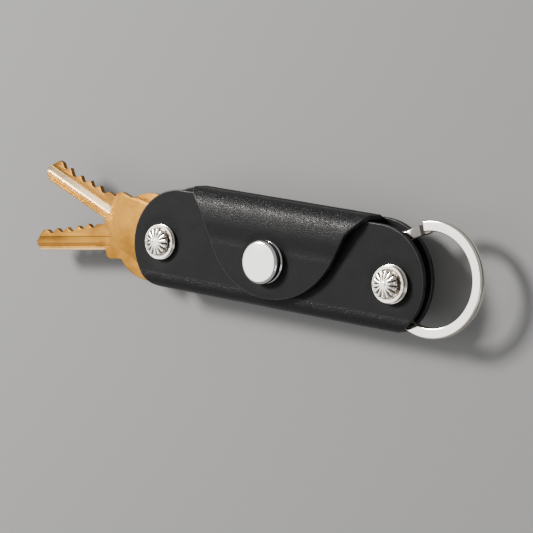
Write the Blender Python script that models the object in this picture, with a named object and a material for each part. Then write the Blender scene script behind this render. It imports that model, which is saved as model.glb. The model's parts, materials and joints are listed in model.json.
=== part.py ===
"""Leather key organiser: one strap of leather folded round two posts, closed by a flap and a snap.

The organiser lies on its back. +X runs along the case from the key end to the ring end, +Y runs
from the bottom fold up to the flap's fold, and +Z runs out of the front. The origin is on the back
panel's outer face, midway between the two posts.
"""

import math

import bmesh
import bpy
from mathutils import Matrix, Vector

MM = 0.001

# Case -----------------------------------------------------------------------------------------
POST_SPACING = 90.0 * MM
LEATHER_THICKNESS = 1.8 * MM
FRONT_END_RADIUS = 17.6 * MM
BACK_END_GROWTH = 1.4 * MM  # the back panel's ends have this much more radius than the front's
FRONT_OVERHANG = 11.5 * MM  # the front panel reaches this far past each post
FOLD_TUCK = 2.5 * MM  # the bottom fold lies this much above the lowest point of the end arcs

# Flap -----------------------------------------------------------------------------------------
FLAP_HALF_WIDTH = 34.0 * MM  # half the flap's width where it leaves the back panel
FLAP_TIP_DROP = 11.6 * MM  # the flap's tip hangs this far below the line of the posts
FLAP_TIP_RADIUS = 26.0 * MM
FLAP_SIDE_ANGLE = math.radians(26.0)  # each side leans in by this much towards the tip
FLAP_FOLD_RADIUS = 3.0 * MM  # outer radius of both bends over the top edge
FLAP_TOP_GAP = 0.3 * MM  # between the front panel's top edge and the flap over it
FLAP_FRONT_GAP = 0.8 * MM  # between the front panel and the flap, taken up by the snap
FLAP_ROOT_GAP = 0.6 * MM  # where the flap bends away from the back panel
HINGE_RISE = 1.1 * MM  # the bending line lies this far above the start of the fold

# Keys, pivoting on the left post ------------------------------------------------------------------
KEY_THICKNESS = 2.0 * MM
BLADE_HEIGHT = 8.5 * MM
BLADE_LENGTH = 30.6 * MM
BLADE_TIP_HEIGHT = 3.0 * MM  # height of the tip's point above the spine
BLADE_TIP_SPINE = 2.6 * MM  # length of the tip's chamfer on the spine's side
BLADE_TIP_TOP = 3.9 * MM  # length of the tip's chamfer on the cut side
CUT_FIRST = 5.4 * MM  # shoulder to the middle of the first cut
CUT_SPACING = 4.5 * MM
CUT_FLAT = 0.9 * MM
CUT_SLOPE = 0.84  # rise of a cut's flank over its run
GROOVE_DEPTH = 0.55 * MM
GROOVE_WIDTH = 2.2 * MM
GROOVE_HEIGHT = 3.4 * MM  # middle of the wide groove above the spine
FINE_GROOVE_WIDTH = 0.7 * MM
FINE_GROOVE_HEIGHT = 1.2 * MM

# Split ring, pivoting on the right post ------------------------------------------------------------
RING_INNER_RADIUS = 14.7 * MM
RING_OUTER_RADIUS = 18.0 * MM
RING_THICKNESS = 2.6 * MM
RING_EDGE = 0.3 * MM

# Posts ------------------------------------------------------------------------------------------
POST_RADIUS = 2.3 * MM
POST_BORE_RADIUS = 1.75 * MM
SHANK_RADIUS = 1.4 * MM
REAR_HEAD_RADIUS = 4.8 * MM
REAR_HEAD_HEIGHT = 1.2 * MM
SLOT_WIDTH = 1.2 * MM
SLOT_DEPTH = 0.6 * MM
REAR_WASHER_RADIUS = 5.7 * MM
REAR_WASHER_THICKNESS = 0.5 * MM
REAR_RECESS = 0.4 * MM  # the leather is pressed in this deep under each rear washer
BASE_WASHER_RADIUS = 6.2 * MM
BASE_WASHER_THICKNESS = 0.5 * MM
CUP_RADIUS = 5.9 * MM
CUP_BORE_RADIUS = 4.6 * MM
CUP_FLOOR = 0.4 * MM
LEFT_CUP_HEIGHT = 0.75 * MM
RIGHT_CUP_HEIGHT = 1.25 * MM
STAR_RADIUS = 4.4 * MM
STAR_RIM_HEIGHT = 0.75 * MM
STAR_DOME_HEIGHT = 1.0 * MM
STAR_BOSS_RADIUS = 1.2 * MM
STAR_FLUTES = 14
FLUTE_DEPTH = 0.45 * MM
LEFT_SCREW_RAISED = 0.3 * MM  # how far each screw stops short of being fully home
RIGHT_SCREW_RAISED = 1.2 * MM
KEY_WASHER_THICKNESS = 0.6 * MM
SPACER_RADIUS = 5.2 * MM

# Snap -------------------------------------------------------------------------------------------
SNAP_X = -1.3 * MM  # the snap sits a little to the left of the middle
CAP_RADIUS = 6.9 * MM
CAP_WALL = 0.6 * MM
CAP_SIDE_HEIGHT = 2.3 * MM
CAP_DOME_HEIGHT = 0.5 * MM
CAP_SHOULDER = 0.9 * MM
SOCKET_RADIUS = 4.1 * MM
SOCKET_BORE_RADIUS = 3.0 * MM
STUD_FLANGE_RADIUS = 4.3 * MM
STUD_FLANGE_THICKNESS = 0.3 * MM
STUD_KNOB_RADIUS = 1.9 * MM
STUD_KNOB_HEIGHT = 1.2 * MM
EYELET_RADIUS = 1.0 * MM
EYELET_FLANGE_RADIUS = 4.5 * MM
EYELET_FLANGE_THICKNESS = 0.5 * MM
EYELET_PROUD = 0.2 * MM  # how far the eyelet's flange stands out of the leather inside the pocket

# Clearances -------------------------------------------------------------------------------------
PLAY = 0.25 * MM  # along a post, between pieces that turn on it
SEAT = 0.25 * MM  # between a seated piece and its seat
HOLE_CLEARANCE = 0.3 * MM  # round a post or a rivet in its hole
SIDE_CLEARANCE = 0.3 * MM  # beside the flap, in the back panel's notch
KEY_FOLD_GAP = 0.3 * MM  # between a key's bow and the bottom fold
RING_FOLD_GAP = 0.1 * MM  # between the ring and the end of the fold that it lies against

# Roundness --------------------------------------------------------------------------------------
ROUND_SEGMENTS = 32
RING_SEGMENTS = 72
ARC_STEP = math.radians(8.0)
FOLD_STEPS = 6
CORNER_STEPS = 4
CUTTER_MARGIN = 1.0 * MM

# Values worked out from the sizes above ----------------------------------------------------------
POCKET_DEPTH = 2 * KEY_THICKNESS + KEY_WASHER_THICKNESS + 4 * PLAY
CASE_THICKNESS = POCKET_DEPTH + 2 * LEATHER_THICKNESS
FRONT_INNER_Z = CASE_THICKNESS - LEATHER_THICKNESS
POST_X = POST_SPACING / 2
FRONT_CENTRE_X = POST_X + FRONT_OVERHANG - FRONT_END_RADIUS
BACK_END_RADIUS = FRONT_END_RADIUS + BACK_END_GROWTH

FOLD_OUTER_RADIUS = CASE_THICKNESS / 2
FOLD_MID_RADIUS = FOLD_OUTER_RADIUS - LEATHER_THICKNESS / 2
FOLD_INNER_RADIUS = FOLD_OUTER_RADIUS - LEATHER_THICKNESS
FOLD_CENTRE_Y = FOLD_OUTER_RADIUS - (FRONT_END_RADIUS - FOLD_TUCK)
FOLD_LOW_DEPTH = FOLD_MID_RADIUS * math.pi / 2 - FOLD_CENTRE_Y
FOLD_HALF_LENGTH = FRONT_CENTRE_X + math.sqrt(FRONT_END_RADIUS**2 - FOLD_LOW_DEPTH**2)
BACK_CENTRE_X = FOLD_HALF_LENGTH - math.sqrt(BACK_END_RADIUS**2 - FOLD_LOW_DEPTH**2)

FLAP_TOP_Y = FRONT_END_RADIUS + FLAP_TOP_GAP + LEATHER_THICKNESS
FLAP_BEND_Y = FLAP_TOP_Y - FLAP_FOLD_RADIUS
FLAP_INNER_Z = CASE_THICKNESS + FLAP_FRONT_GAP
FLAP_OUTER_Z = FLAP_INNER_Z + LEATHER_THICKNESS
FLAP_TIP_CENTRE_Y = FLAP_TIP_RADIUS - FLAP_TIP_DROP
HINGE_Y = FLAP_BEND_Y + HINGE_RISE
HINGE_Z = LEATHER_THICKNESS / 2

LOWER_KEY_Z = LEATHER_THICKNESS + PLAY
KEY_WASHER_Z = LOWER_KEY_Z + KEY_THICKNESS + PLAY
UPPER_KEY_Z = KEY_WASHER_Z + KEY_WASHER_THICKNESS + PLAY

RING_SPACER_THICKNESS = (POCKET_DEPTH - RING_THICKNESS - 4 * PLAY) / 2
REAR_RING_SPACER_Z = LEATHER_THICKNESS + PLAY
RING_Z = REAR_RING_SPACER_Z + RING_SPACER_THICKNESS + PLAY
FRONT_RING_SPACER_Z = RING_Z + RING_THICKNESS + PLAY
RING_REACH = RING_INNER_RADIUS - POST_RADIUS - HOLE_CLEARANCE

POST_HOLE_RADIUS = POST_RADIUS + HOLE_CLEARANCE
BASE_WASHER_Z = CASE_THICKNESS + SEAT
CUP_Z = BASE_WASHER_Z + BASE_WASHER_THICKNESS + SEAT
STAR_Z = CUP_Z + CUP_FLOOR + SEAT
POST_TOP_Z = CUP_Z + CUP_FLOOR / 2
REAR_WASHER_Z = REAR_RECESS - SEAT - REAR_WASHER_THICKNESS
REAR_HEAD_TOP_Z = REAR_WASHER_Z - SEAT
REAR_HEAD_Z = REAR_HEAD_TOP_Z - REAR_HEAD_HEIGHT
BORE_FLOOR_Z = LEATHER_THICKNESS

STUD_Z = CASE_THICKNESS + (FLAP_FRONT_GAP - STUD_FLANGE_THICKNESS) / 2
SOCKET_Z = FLAP_INNER_Z
CAP_Z = FLAP_OUTER_Z + SEAT
CAP_TOP_Z = CAP_Z + CAP_SIDE_HEIGHT + CAP_SHOULDER + CAP_DOME_HEIGHT
EYELET_FLANGE_Z = FRONT_INNER_Z - EYELET_PROUD


# Materials --------------------------------------------------------------------------------------
def material(name, colour, roughness, metallic):
    """A plain surface of one colour."""
    made = bpy.data.materials.new(name)
    made.use_nodes = True
    shader = made.node_tree.nodes["Principled BSDF"]
    shader.inputs["Base Color"].default_value = (*colour, 1.0)
    shader.inputs["Roughness"].default_value = roughness
    shader.inputs["Metallic"].default_value = metallic
    return made


# Objects ----------------------------------------------------------------------------------------
def add_object(name, points, faces, surface):
    """A mesh object from points in metres, with its faces turned outwards."""
    mesh = bpy.data.meshes.new(name)
    mesh.from_pydata(points, [], faces)
    shell = bmesh.new()
    shell.from_mesh(mesh)
    bmesh.ops.recalc_face_normals(shell, faces=shell.faces)
    shell.to_mesh(mesh)
    shell.free()
    mesh.shade_smooth()
    mesh.set_sharp_from_angle(angle=math.radians(35.0))
    if surface is not None:
        mesh.materials.append(surface)
    made = bpy.data.objects.new(name, mesh)
    bpy.context.scene.collection.objects.link(made)
    return made


def add_pivot(name, location):
    """An empty on a joint's axis, for a moving piece to hang from."""
    pivot = bpy.data.objects.new(name, None)
    pivot.location = location
    bpy.context.scene.collection.objects.link(pivot)
    return pivot


def hang_on(piece, pivot):
    """Parents a piece to a pivot and leaves it where it is."""
    piece.parent = pivot
    piece.matrix_parent_inverse = Matrix.Translation(-Vector(pivot.location))


def cut(piece, cutter):
    """Takes the cutter's shape out of the piece."""
    cutter.hide_render = True
    cutter.display_type = "WIRE"
    modifier = piece.modifiers.new(cutter.name, "BOOLEAN")
    modifier.operation = "DIFFERENCE"
    modifier.solver = "EXACT"
    modifier.object = cutter


def lathe(name, profile, surface, segments=ROUND_SEGMENTS, place=(0.0, 0.0), shape=None):
    """Turns a profile of (radius, height) points about a vertical axis at place.

    A profile that starts and ends on the axis closes at its poles. Any other profile is a loop,
    and makes a ring. The optional shape moves a point by its turn number.
    """
    on_axis = profile[0][0] == 0.0
    points = []
    rings = []
    for radius, height in profile:
        if radius == 0.0:
            rings.append([len(points)] * segments)
            points.append((place[0], place[1], height))
            continue
        ring = []
        for turn in range(segments):
            angle = 2 * math.pi * (turn + 0.5) / segments
            r, z = (radius, height) if shape is None else shape(radius, height, turn)
            ring.append(len(points))
            points.append((place[0] + r * math.cos(angle), place[1] + r * math.sin(angle), z))
        rings.append(ring)
    faces = []
    pairs = len(rings) - 1 if on_axis else len(rings)
    for i in range(pairs):
        low = rings[i]
        high = rings[(i + 1) % len(rings)]
        for turn in range(segments):
            after = (turn + 1) % segments
            corners = [low[turn], low[after], high[after], high[turn]]
            face = [c for k, c in enumerate(corners) if c not in corners[:k]]
            faces.append(face)
    return add_object(name, points, faces, surface)


def washer(name, place, inner, outer, low, thickness, surface):
    """A flat ring."""
    high = low + thickness
    profile = [(inner, low), (outer, low), (outer, high), (inner, high)]
    return lathe(name, profile, surface, place=place)


def cylinder_cutter(name, place, radius, low, high):
    """A plain drill from low to high."""
    profile = [(0.0, low), (radius, low), (radius, high), (0.0, high)]
    return lathe(name, profile, None, place=place)


def box_cutter(name, low, high):
    """A box between two corners."""
    points = [(x, y, z) for x in (low[0], high[0]) for y in (low[1], high[1]) for z in (low[2], high[2])]
    faces = [(0, 1, 3, 2), (4, 6, 7, 5), (0, 4, 5, 1), (2, 3, 7, 6), (0, 2, 6, 4), (1, 5, 7, 3)]
    return add_object(name, points, faces, None)


# Leather ----------------------------------------------------------------------------------------
def leather_sheet(name, rows, surface):
    """A bent strap of leather from rows of (y, z, normal y, normal z, half length) at its middle."""
    half = LEATHER_THICKNESS / 2
    points = []
    for y, z, ny, nz, length in rows:
        for side in (-1, 1):
            for x in (-length, length):
                points.append((x, y + side * half * ny, z + side * half * nz))
    faces = [(0, 1, 3, 2)]
    for i in range(len(rows) - 1):
        a = 4 * i
        b = a + 4
        faces.append((a, a + 1, b + 1, b))
        faces.append((a + 2, b + 2, b + 3, a + 3))
        faces.append((a, b, b + 2, a + 2))
        faces.append((a + 1, a + 3, b + 3, b + 1))
    last = 4 * (len(rows) - 1)
    faces.append((last, last + 2, last + 3, last + 1))
    return add_object(name, points, faces, surface)


def arc_angles(first, last):
    """Evenly spaced angles from first to last, about ARC_STEP apart."""
    steps = math.ceil(abs(last - first) / ARC_STEP)
    return [first + (last - first) * i / steps for i in range(steps + 1)]


def fold_half_length(turn):
    """Half the fold's length at a turn about its centre, from 0 on the front to pi on the back."""
    on_front = turn <= math.pi / 2
    depth = FOLD_MID_RADIUS * (turn if on_front else math.pi - turn) - FOLD_CENTRE_Y
    radius = FRONT_END_RADIUS if on_front else BACK_END_RADIUS
    centre = FRONT_CENTRE_X if on_front else BACK_CENTRE_X
    return centre + math.sqrt(radius**2 - depth**2)


def fold_inner_end(height):
    """The (x, y) corner where the fold's inner face ends, at a height inside the pocket."""
    turn = math.acos((height - CASE_THICKNESS / 2) / FOLD_INNER_RADIUS)
    return fold_half_length(turn), FOLD_CENTRE_Y - FOLD_INNER_RADIUS * math.sin(turn)


def body_rows():
    """The case from the front panel's top edge, round the bottom fold, to the back panel's top edge."""
    middle = LEATHER_THICKNESS / 2
    rows = []
    turn_in = math.asin(FOLD_CENTRE_Y / FRONT_END_RADIUS)
    for angle in arc_angles(math.pi / 2, turn_in):
        y = FRONT_END_RADIUS * math.sin(angle)
        half = FRONT_CENTRE_X + FRONT_END_RADIUS * math.cos(angle)
        rows.append((y, CASE_THICKNESS - middle, 0.0, 1.0, half))
    for step in range(1, 2 * FOLD_STEPS):
        turn = math.pi / 2 * step / FOLD_STEPS
        ny = -math.sin(turn)
        nz = math.cos(turn)
        y = FOLD_CENTRE_Y + FOLD_MID_RADIUS * ny
        z = CASE_THICKNESS / 2 + FOLD_MID_RADIUS * nz
        rows.append((y, z, ny, nz, fold_half_length(turn)))
    turn_out = math.asin(FOLD_CENTRE_Y / BACK_END_RADIUS)
    for angle in arc_angles(turn_out, math.pi / 2):
        y = BACK_END_RADIUS * math.sin(angle)
        half = BACK_CENTRE_X + BACK_END_RADIUS * math.cos(angle)
        rows.append((y, middle, 0.0, -1.0, half))
    return rows


def make_leather_body(surface):
    """Front panel, bottom fold and back panel in one piece, with the post and rivet holes."""
    body = leather_sheet("leather_body", body_rows(), surface)
    washer_seat = REAR_WASHER_RADIUS + SEAT
    post_profile = [
        (0.0, -CUTTER_MARGIN),
        (washer_seat, -CUTTER_MARGIN),
        (washer_seat, REAR_RECESS),
        (POST_HOLE_RADIUS, REAR_RECESS),
        (POST_HOLE_RADIUS, CASE_THICKNESS + CUTTER_MARGIN),
        (0.0, CASE_THICKNESS + CUTTER_MARGIN),
    ]
    for side, x in (("left", -POST_X), ("right", POST_X)):
        cut(body, lathe(f"{side}_post_drill", post_profile, None, place=(x, 0.0)))
    rivet_hole = EYELET_RADIUS + HOLE_CLEARANCE
    recess_radius = EYELET_FLANGE_RADIUS + HOLE_CLEARANCE
    recess_top = EYELET_FLANGE_Z + EYELET_FLANGE_THICKNESS + SEAT
    stepped_profile = [
        (0.0, CASE_THICKNESS / 2),
        (recess_radius, CASE_THICKNESS / 2),
        (recess_radius, recess_top),
        (rivet_hole, recess_top),
        (rivet_hole, CASE_THICKNESS + CUTTER_MARGIN),
        (0.0, CASE_THICKNESS + CUTTER_MARGIN),
    ]
    cut(body, lathe("rivet_drill", stepped_profile, None, place=(SNAP_X, 0.0)))
    notch_half = FLAP_HALF_WIDTH + SIDE_CLEARANCE
    notch = box_cutter(
        "flap_notch_cutter",
        (-notch_half, FLAP_BEND_Y - FLAP_ROOT_GAP, -CUTTER_MARGIN),
        (notch_half, BACK_END_RADIUS + CUTTER_MARGIN, LEATHER_THICKNESS + CUTTER_MARGIN),
    )
    cut(body, notch)
    return body


def flap_side(y):
    """Half the flap's width at height y, on its straight leaning sides."""
    tangent_x = FLAP_TIP_RADIUS * math.cos(FLAP_SIDE_ANGLE)
    tangent_y = FLAP_TIP_CENTRE_Y - FLAP_TIP_RADIUS * math.sin(FLAP_SIDE_ANGLE)
    return tangent_x + (y - tangent_y) * math.tan(FLAP_SIDE_ANGLE)


def flap_rows():
    """The flap from its root on the back panel, over the top edge, down to its rounded tip."""
    middle = FLAP_FOLD_RADIUS - LEATHER_THICKNESS / 2
    rows = []
    for step in range(CORNER_STEPS + 1):
        turn = math.pi / 2 * step / CORNER_STEPS
        ny = math.sin(turn)
        nz = -math.cos(turn)
        y = FLAP_BEND_Y + middle * ny
        z = FLAP_FOLD_RADIUS + middle * nz
        rows.append((y, z, ny, nz, FLAP_HALF_WIDTH))
    for step in range(CORNER_STEPS + 1):
        share = step / CORNER_STEPS
        turn = math.pi / 2 * share
        ny = math.cos(turn)
        nz = math.sin(turn)
        y = FLAP_BEND_Y + middle * ny
        z = FLAP_OUTER_Z - FLAP_FOLD_RADIUS + middle * nz
        narrow = flap_side(FLAP_BEND_Y)
        half = narrow + (FLAP_HALF_WIDTH - narrow) * (1 - share) ** 2
        rows.append((y, z, ny, nz, half))
    tip_middle = FLAP_OUTER_Z - LEATHER_THICKNESS / 2
    for angle in arc_angles(FLAP_SIDE_ANGLE, math.radians(88.0)):
        y = FLAP_TIP_CENTRE_Y - FLAP_TIP_RADIUS * math.sin(angle)
        half = FLAP_TIP_RADIUS * math.cos(angle)
        rows.append((y, tip_middle, 0.0, 1.0, half))
    return rows


def make_leather_flap(surface):
    """The flap, with a hole for the snap's socket."""
    flap = leather_sheet("leather_flap", flap_rows(), surface)
    drill = cylinder_cutter(
        "socket_drill",
        (SNAP_X, 0.0),
        SOCKET_RADIUS + HOLE_CLEARANCE,
        CASE_THICKNESS,
        FLAP_OUTER_Z + CUTTER_MARGIN,
    )
    cut(flap, drill)
    return flap


# Keys -------------------------------------------------------------------------------------------
def cut_side(shoulder, spine, cut_heights):
    """The cut edge of a blade from its shoulder to its tip, as (along, across) points."""
    tip = shoulder + BLADE_LENGTH
    top = spine + BLADE_HEIGHT
    edge = [(shoulder, top)]
    for number, height in enumerate(cut_heights):
        along = shoulder + CUT_FIRST + number * CUT_SPACING
        floor = spine + height
        before = edge[-1]
        first = along - CUT_FLAT / 2
        peak = (before[0] + first) / 2 + (floor - before[1]) / (2 * CUT_SLOPE)
        if number == 0:
            peak = first - (top - floor) / CUT_SLOPE
            edge.append((peak, top))
        else:
            edge.append((peak, before[1] + (peak - before[0]) * CUT_SLOPE))
        edge.append((first, floor))
        edge.append((along + CUT_FLAT / 2, floor))
    end = tip - BLADE_TIP_TOP
    last = edge[-1]
    rise = min((end - last[0]) * CUT_SLOPE / 2, top - last[1])
    edge.append((last[0] + rise / CUT_SLOPE, last[1] + rise))
    edge.append((end, last[1] + rise))
    return edge


def key_outline(shoulder, spine, cut_heights, bow_centre, bow_radius, upper_neck, lower_neck):
    """A key's outline round its post, as (along the blade, across it towards the cuts) points.

    Each neck is a list of points from the bow's circle out to the blade on one side.
    """
    tip = shoulder + BLADE_LENGTH
    middle = spine + BLADE_HEIGHT / 2
    outline = []
    outline.append((tip, spine + BLADE_TIP_HEIGHT))
    outline.extend(reversed(cut_side(shoulder, spine, cut_heights)))
    outline.extend(reversed(upper_neck))
    start = math.atan2(upper_neck[0][1] - middle, upper_neck[0][0] - bow_centre)
    stop = 2 * math.pi + math.atan2(lower_neck[0][1] - middle, lower_neck[0][0] - bow_centre)
    for angle in arc_angles(start, stop):
        across = middle + bow_radius * math.sin(angle)
        outline.append((bow_centre + bow_radius * math.cos(angle), across))
    outline.extend(lower_neck[1:])
    outline.append((tip - BLADE_TIP_SPINE, spine))
    return outline


def on_circle(centre, radius, across, middle):
    """The point on a bow's blade side that lies at height across."""
    return (centre + math.sqrt(radius**2 - (across - middle) ** 2), across)


def make_key(name, key, pointing, flip, low, pivot, surface):
    """Cuts a key from sheet brass, with its post hole, its milled grooves and a flat at the fold."""
    turned = Matrix.Rotation(pointing, 4, "Z")
    mirror = Matrix.Scale(flip, 4, (0, 1, 0))
    place = Matrix.Translation((-POST_X, 0.0, 0.0)) @ turned @ mirror
    outline = key_outline(**key)
    count = len(outline)
    points = [place @ Vector((u, v, low)) for u, v in outline]
    points += [place @ Vector((u, v, low + KEY_THICKNESS)) for u, v in outline]
    faces = [tuple(range(count)), tuple(range(count, 2 * count))]
    for i in range(count):
        after = (i + 1) % count
        faces.append((i, after, after + count, i + count))
    made = add_object(name, points, faces, surface)
    drill = cylinder_cutter(
        f"{name}_drill",
        (-POST_X, 0.0),
        POST_HOLE_RADIUS,
        low - CUTTER_MARGIN,
        low + KEY_THICKNESS + CUTTER_MARGIN,
    )
    cut(made, drill)
    high = low + KEY_THICKNESS
    fold_x = FRONT_CENTRE_X + math.sqrt(FRONT_END_RADIUS**2 - FOLD_CENTRE_Y**2)
    fold_y = max(fold_inner_end(low)[1], fold_inner_end(high)[1])
    flat = box_cutter(
        f"{name}_fold_flat_cutter",
        (-fold_x - KEY_FOLD_GAP, fold_y - FRONT_END_RADIUS, low - CUTTER_MARGIN),
        (0.0, fold_y + KEY_FOLD_GAP, high + CUTTER_MARGIN),
    )
    cut(made, flat)
    start = key["shoulder"] - GROOVE_WIDTH
    stop = key["shoulder"] + BLADE_LENGTH + CUTTER_MARGIN
    grooves = (
        ("wide", GROOVE_HEIGHT, GROOVE_WIDTH, low + KEY_THICKNESS - GROOVE_DEPTH, CUTTER_MARGIN),
        ("fine", FINE_GROOVE_HEIGHT, FINE_GROOVE_WIDTH, low - CUTTER_MARGIN, 0.0),
    )
    for kind, height, width, groove_low, extra in grooves:
        across = key["spine"] + height
        groove_high = groove_low + GROOVE_DEPTH + (extra or CUTTER_MARGIN)
        cutter = box_cutter(
            f"{name}_{kind}_groove_cutter",
            (start, across - width / 2, groove_low),
            (stop, across + width / 2, groove_high),
        )
        cutter.data.transform(place)
        if flip < 0:
            cutter.data.flip_normals()
        cut(made, cutter)
    hang_on(made, pivot)
    return made


def upper_key_shape():
    """The front key: a stepped collar on both sides of its blade."""
    shoulder = 25.4 * MM
    spine = -5.65 * MM
    middle = spine + BLADE_HEIGHT / 2
    bow_centre = 5.5 * MM
    bow_radius = 10.6 * MM
    heights = [7.0 * MM, 6.8 * MM, 6.3 * MM, 5.8 * MM, 6.5 * MM]
    collar = spine + BLADE_HEIGHT + 2.7 * MM
    belly = spine - 2.2 * MM
    return {
        "shoulder": shoulder,
        "spine": spine,
        "cut_heights": heights,
        "bow_centre": bow_centre,
        "bow_radius": bow_radius,
        "upper_neck": [
            on_circle(bow_centre, bow_radius, collar + 2.4 * MM, middle),
            (shoulder - 8.6 * MM, collar + 1.3 * MM),
            (shoulder - 5.9 * MM, collar + 0.2 * MM),
            (shoulder - 2.1 * MM, collar),
            (shoulder - 0.2 * MM, collar - 1.1 * MM),
        ],
        "lower_neck": [
            on_circle(bow_centre, bow_radius, belly - 3.8 * MM, middle),
            (shoulder - 9.2 * MM, belly - 3.4 * MM),
            (shoulder - 5.4 * MM, belly - 1.5 * MM),
            (shoulder - 0.2 * MM, belly),
            (shoulder + 0.6 * MM, spine),
        ],
    }


def lower_key_shape():
    """The rear key: a wide round bow and one stop on the spine's side."""
    shoulder = 28.0 * MM
    spine = -2.8 * MM
    middle = spine + BLADE_HEIGHT / 2
    bow_centre = 9.0 * MM
    bow_radius = 14.3 * MM
    heights = [7.4 * MM, 7.0 * MM, 6.2 * MM, 6.0 * MM, 5.7 * MM]
    stop = spine - 2.9 * MM
    neck = spine + BLADE_HEIGHT + 0.6 * MM
    return {
        "shoulder": shoulder,
        "spine": spine,
        "cut_heights": heights,
        "bow_centre": bow_centre,
        "bow_radius": bow_radius,
        "upper_neck": [
            on_circle(bow_centre, bow_radius, neck, middle),
            (shoulder - 1.6 * MM, neck),
        ],
        "lower_neck": [
            on_circle(bow_centre, bow_radius, stop, middle),
            (shoulder - 1.6 * MM, stop),
            (shoulder - 0.4 * MM, stop + 1.1 * MM),
            (shoulder, spine),
        ],
    }


# Posts ------------------------------------------------------------------------------------------
def make_post(side, x, cup_height, raised, steel):
    """One post: slotted rear barrel, washers, cup and fluted screw."""
    place = (x, 0.0)
    edge = 0.2 * MM
    barrel_profile = [
        (0.0, REAR_HEAD_Z),
        (REAR_HEAD_RADIUS - edge, REAR_HEAD_Z),
        (REAR_HEAD_RADIUS, REAR_HEAD_Z + edge),
        (REAR_HEAD_RADIUS, REAR_HEAD_TOP_Z),
        (POST_RADIUS, REAR_HEAD_TOP_Z),
        (POST_RADIUS, POST_TOP_Z),
        (POST_BORE_RADIUS, POST_TOP_Z),
        (POST_BORE_RADIUS, BORE_FLOOR_Z),
        (0.0, BORE_FLOOR_Z),
    ]
    barrel = lathe(f"{side}_post_barrel", barrel_profile, steel, place=place)
    slot = box_cutter(
        f"{side}_slot_cutter",
        (x - REAR_HEAD_RADIUS - CUTTER_MARGIN, -SLOT_WIDTH / 2, REAR_HEAD_Z - CUTTER_MARGIN),
        (x + REAR_HEAD_RADIUS + CUTTER_MARGIN, SLOT_WIDTH / 2, REAR_HEAD_Z + SLOT_DEPTH),
    )
    cut(barrel, slot)
    washer(
        f"{side}_rear_washer",
        place,
        POST_HOLE_RADIUS,
        REAR_WASHER_RADIUS,
        REAR_WASHER_Z,
        REAR_WASHER_THICKNESS,
        steel,
    )
    washer(
        f"{side}_base_washer",
        place,
        POST_HOLE_RADIUS,
        BASE_WASHER_RADIUS,
        BASE_WASHER_Z,
        BASE_WASHER_THICKNESS,
        steel,
    )
    lip = 0.35 * MM
    cup_top = CUP_Z + cup_height
    cup_profile = [
        (POST_HOLE_RADIUS, CUP_Z),
        (CUP_RADIUS, CUP_Z),
        (CUP_RADIUS, cup_top - lip),
        (CUP_RADIUS - lip, cup_top),
        (CUP_BORE_RADIUS + lip / 2, cup_top),
        (CUP_BORE_RADIUS, cup_top - lip / 2),
        (CUP_BORE_RADIUS, CUP_Z + CUP_FLOOR),
        (POST_HOLE_RADIUS, CUP_Z + CUP_FLOOR),
    ]
    lathe(f"{side}_cup_washer", cup_profile, steel, place=place)
    make_star_screw(f"{side}_star_screw", place, STAR_Z + raised, raised, steel)


def make_star_screw(name, place, low, raised, steel):
    """A screw with a domed head and radial flutes, and a plain shank in the barrel's bore."""
    rim = low + STAR_RIM_HEIGHT
    shank_end = BORE_FLOOR_Z + SEAT + raised
    turns_per_flute = 4

    def flute(radius, height, turn):
        """Sinks every fourth meridian of the head into a flute that deepens towards the rim."""
        if turn % turns_per_flute or radius <= STAR_BOSS_RADIUS or height < rim:
            return radius, height
        share = (radius - STAR_BOSS_RADIUS) / (STAR_RADIUS - STAR_BOSS_RADIUS)
        return radius - share * FLUTE_DEPTH / 2, height - share * FLUTE_DEPTH

    profile = [
        (0.0, shank_end),
        (SHANK_RADIUS, shank_end),
        (SHANK_RADIUS, low),
        (STAR_RADIUS - FLUTE_DEPTH, low),
        (STAR_RADIUS, rim),
    ]
    dome_steps = 3
    for step in range(1, dome_steps + 1):
        share = step / (dome_steps + 1)
        radius = STAR_RADIUS + (STAR_BOSS_RADIUS - STAR_RADIUS) * share
        height = rim + STAR_DOME_HEIGHT * math.sin(share * math.pi / 2)
        profile.append((radius, height))
    profile.append((STAR_BOSS_RADIUS, rim + STAR_DOME_HEIGHT))
    profile.append((0.0, rim + STAR_DOME_HEIGHT))
    segments = STAR_FLUTES * turns_per_flute
    lathe(name, profile, steel, segments=segments, place=place, shape=flute)


# Split ring -------------------------------------------------------------------------------------
def ring_turn():
    """How far the ring is turned up about its post where it lies against the end of the fold."""
    turns = []
    for height in (RING_Z, RING_Z + RING_THICKNESS):
        end_x, end_y = fold_inner_end(height)
        far = math.hypot(end_x - POST_X, end_y)
        rim = RING_OUTER_RADIUS - RING_EDGE + RING_FOLD_GAP
        share = (RING_REACH**2 + far**2 - rim**2) / (2 * RING_REACH * far)
        turns.append(math.atan2(end_y, end_x - POST_X) + math.acos(share))
    return max(turns)


def make_split_ring(pivot, steel):
    """The ring, hooked round the right post and pulled fully outwards."""
    turn = ring_turn()
    centre = (
        POST_X + RING_REACH * math.cos(turn),
        RING_REACH * math.sin(turn),
    )
    low = RING_Z
    high = RING_Z + RING_THICKNESS
    profile = [
        (RING_INNER_RADIUS, low + RING_EDGE),
        (RING_INNER_RADIUS + RING_EDGE, low),
        (RING_OUTER_RADIUS - RING_EDGE, low),
        (RING_OUTER_RADIUS, low + RING_EDGE),
        (RING_OUTER_RADIUS, high - RING_EDGE),
        (RING_OUTER_RADIUS - RING_EDGE, high),
        (RING_INNER_RADIUS + RING_EDGE, high),
        (RING_INNER_RADIUS, high - RING_EDGE),
    ]
    ring = lathe("split_ring", profile, steel, segments=RING_SEGMENTS, place=centre)
    hang_on(ring, pivot)


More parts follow.
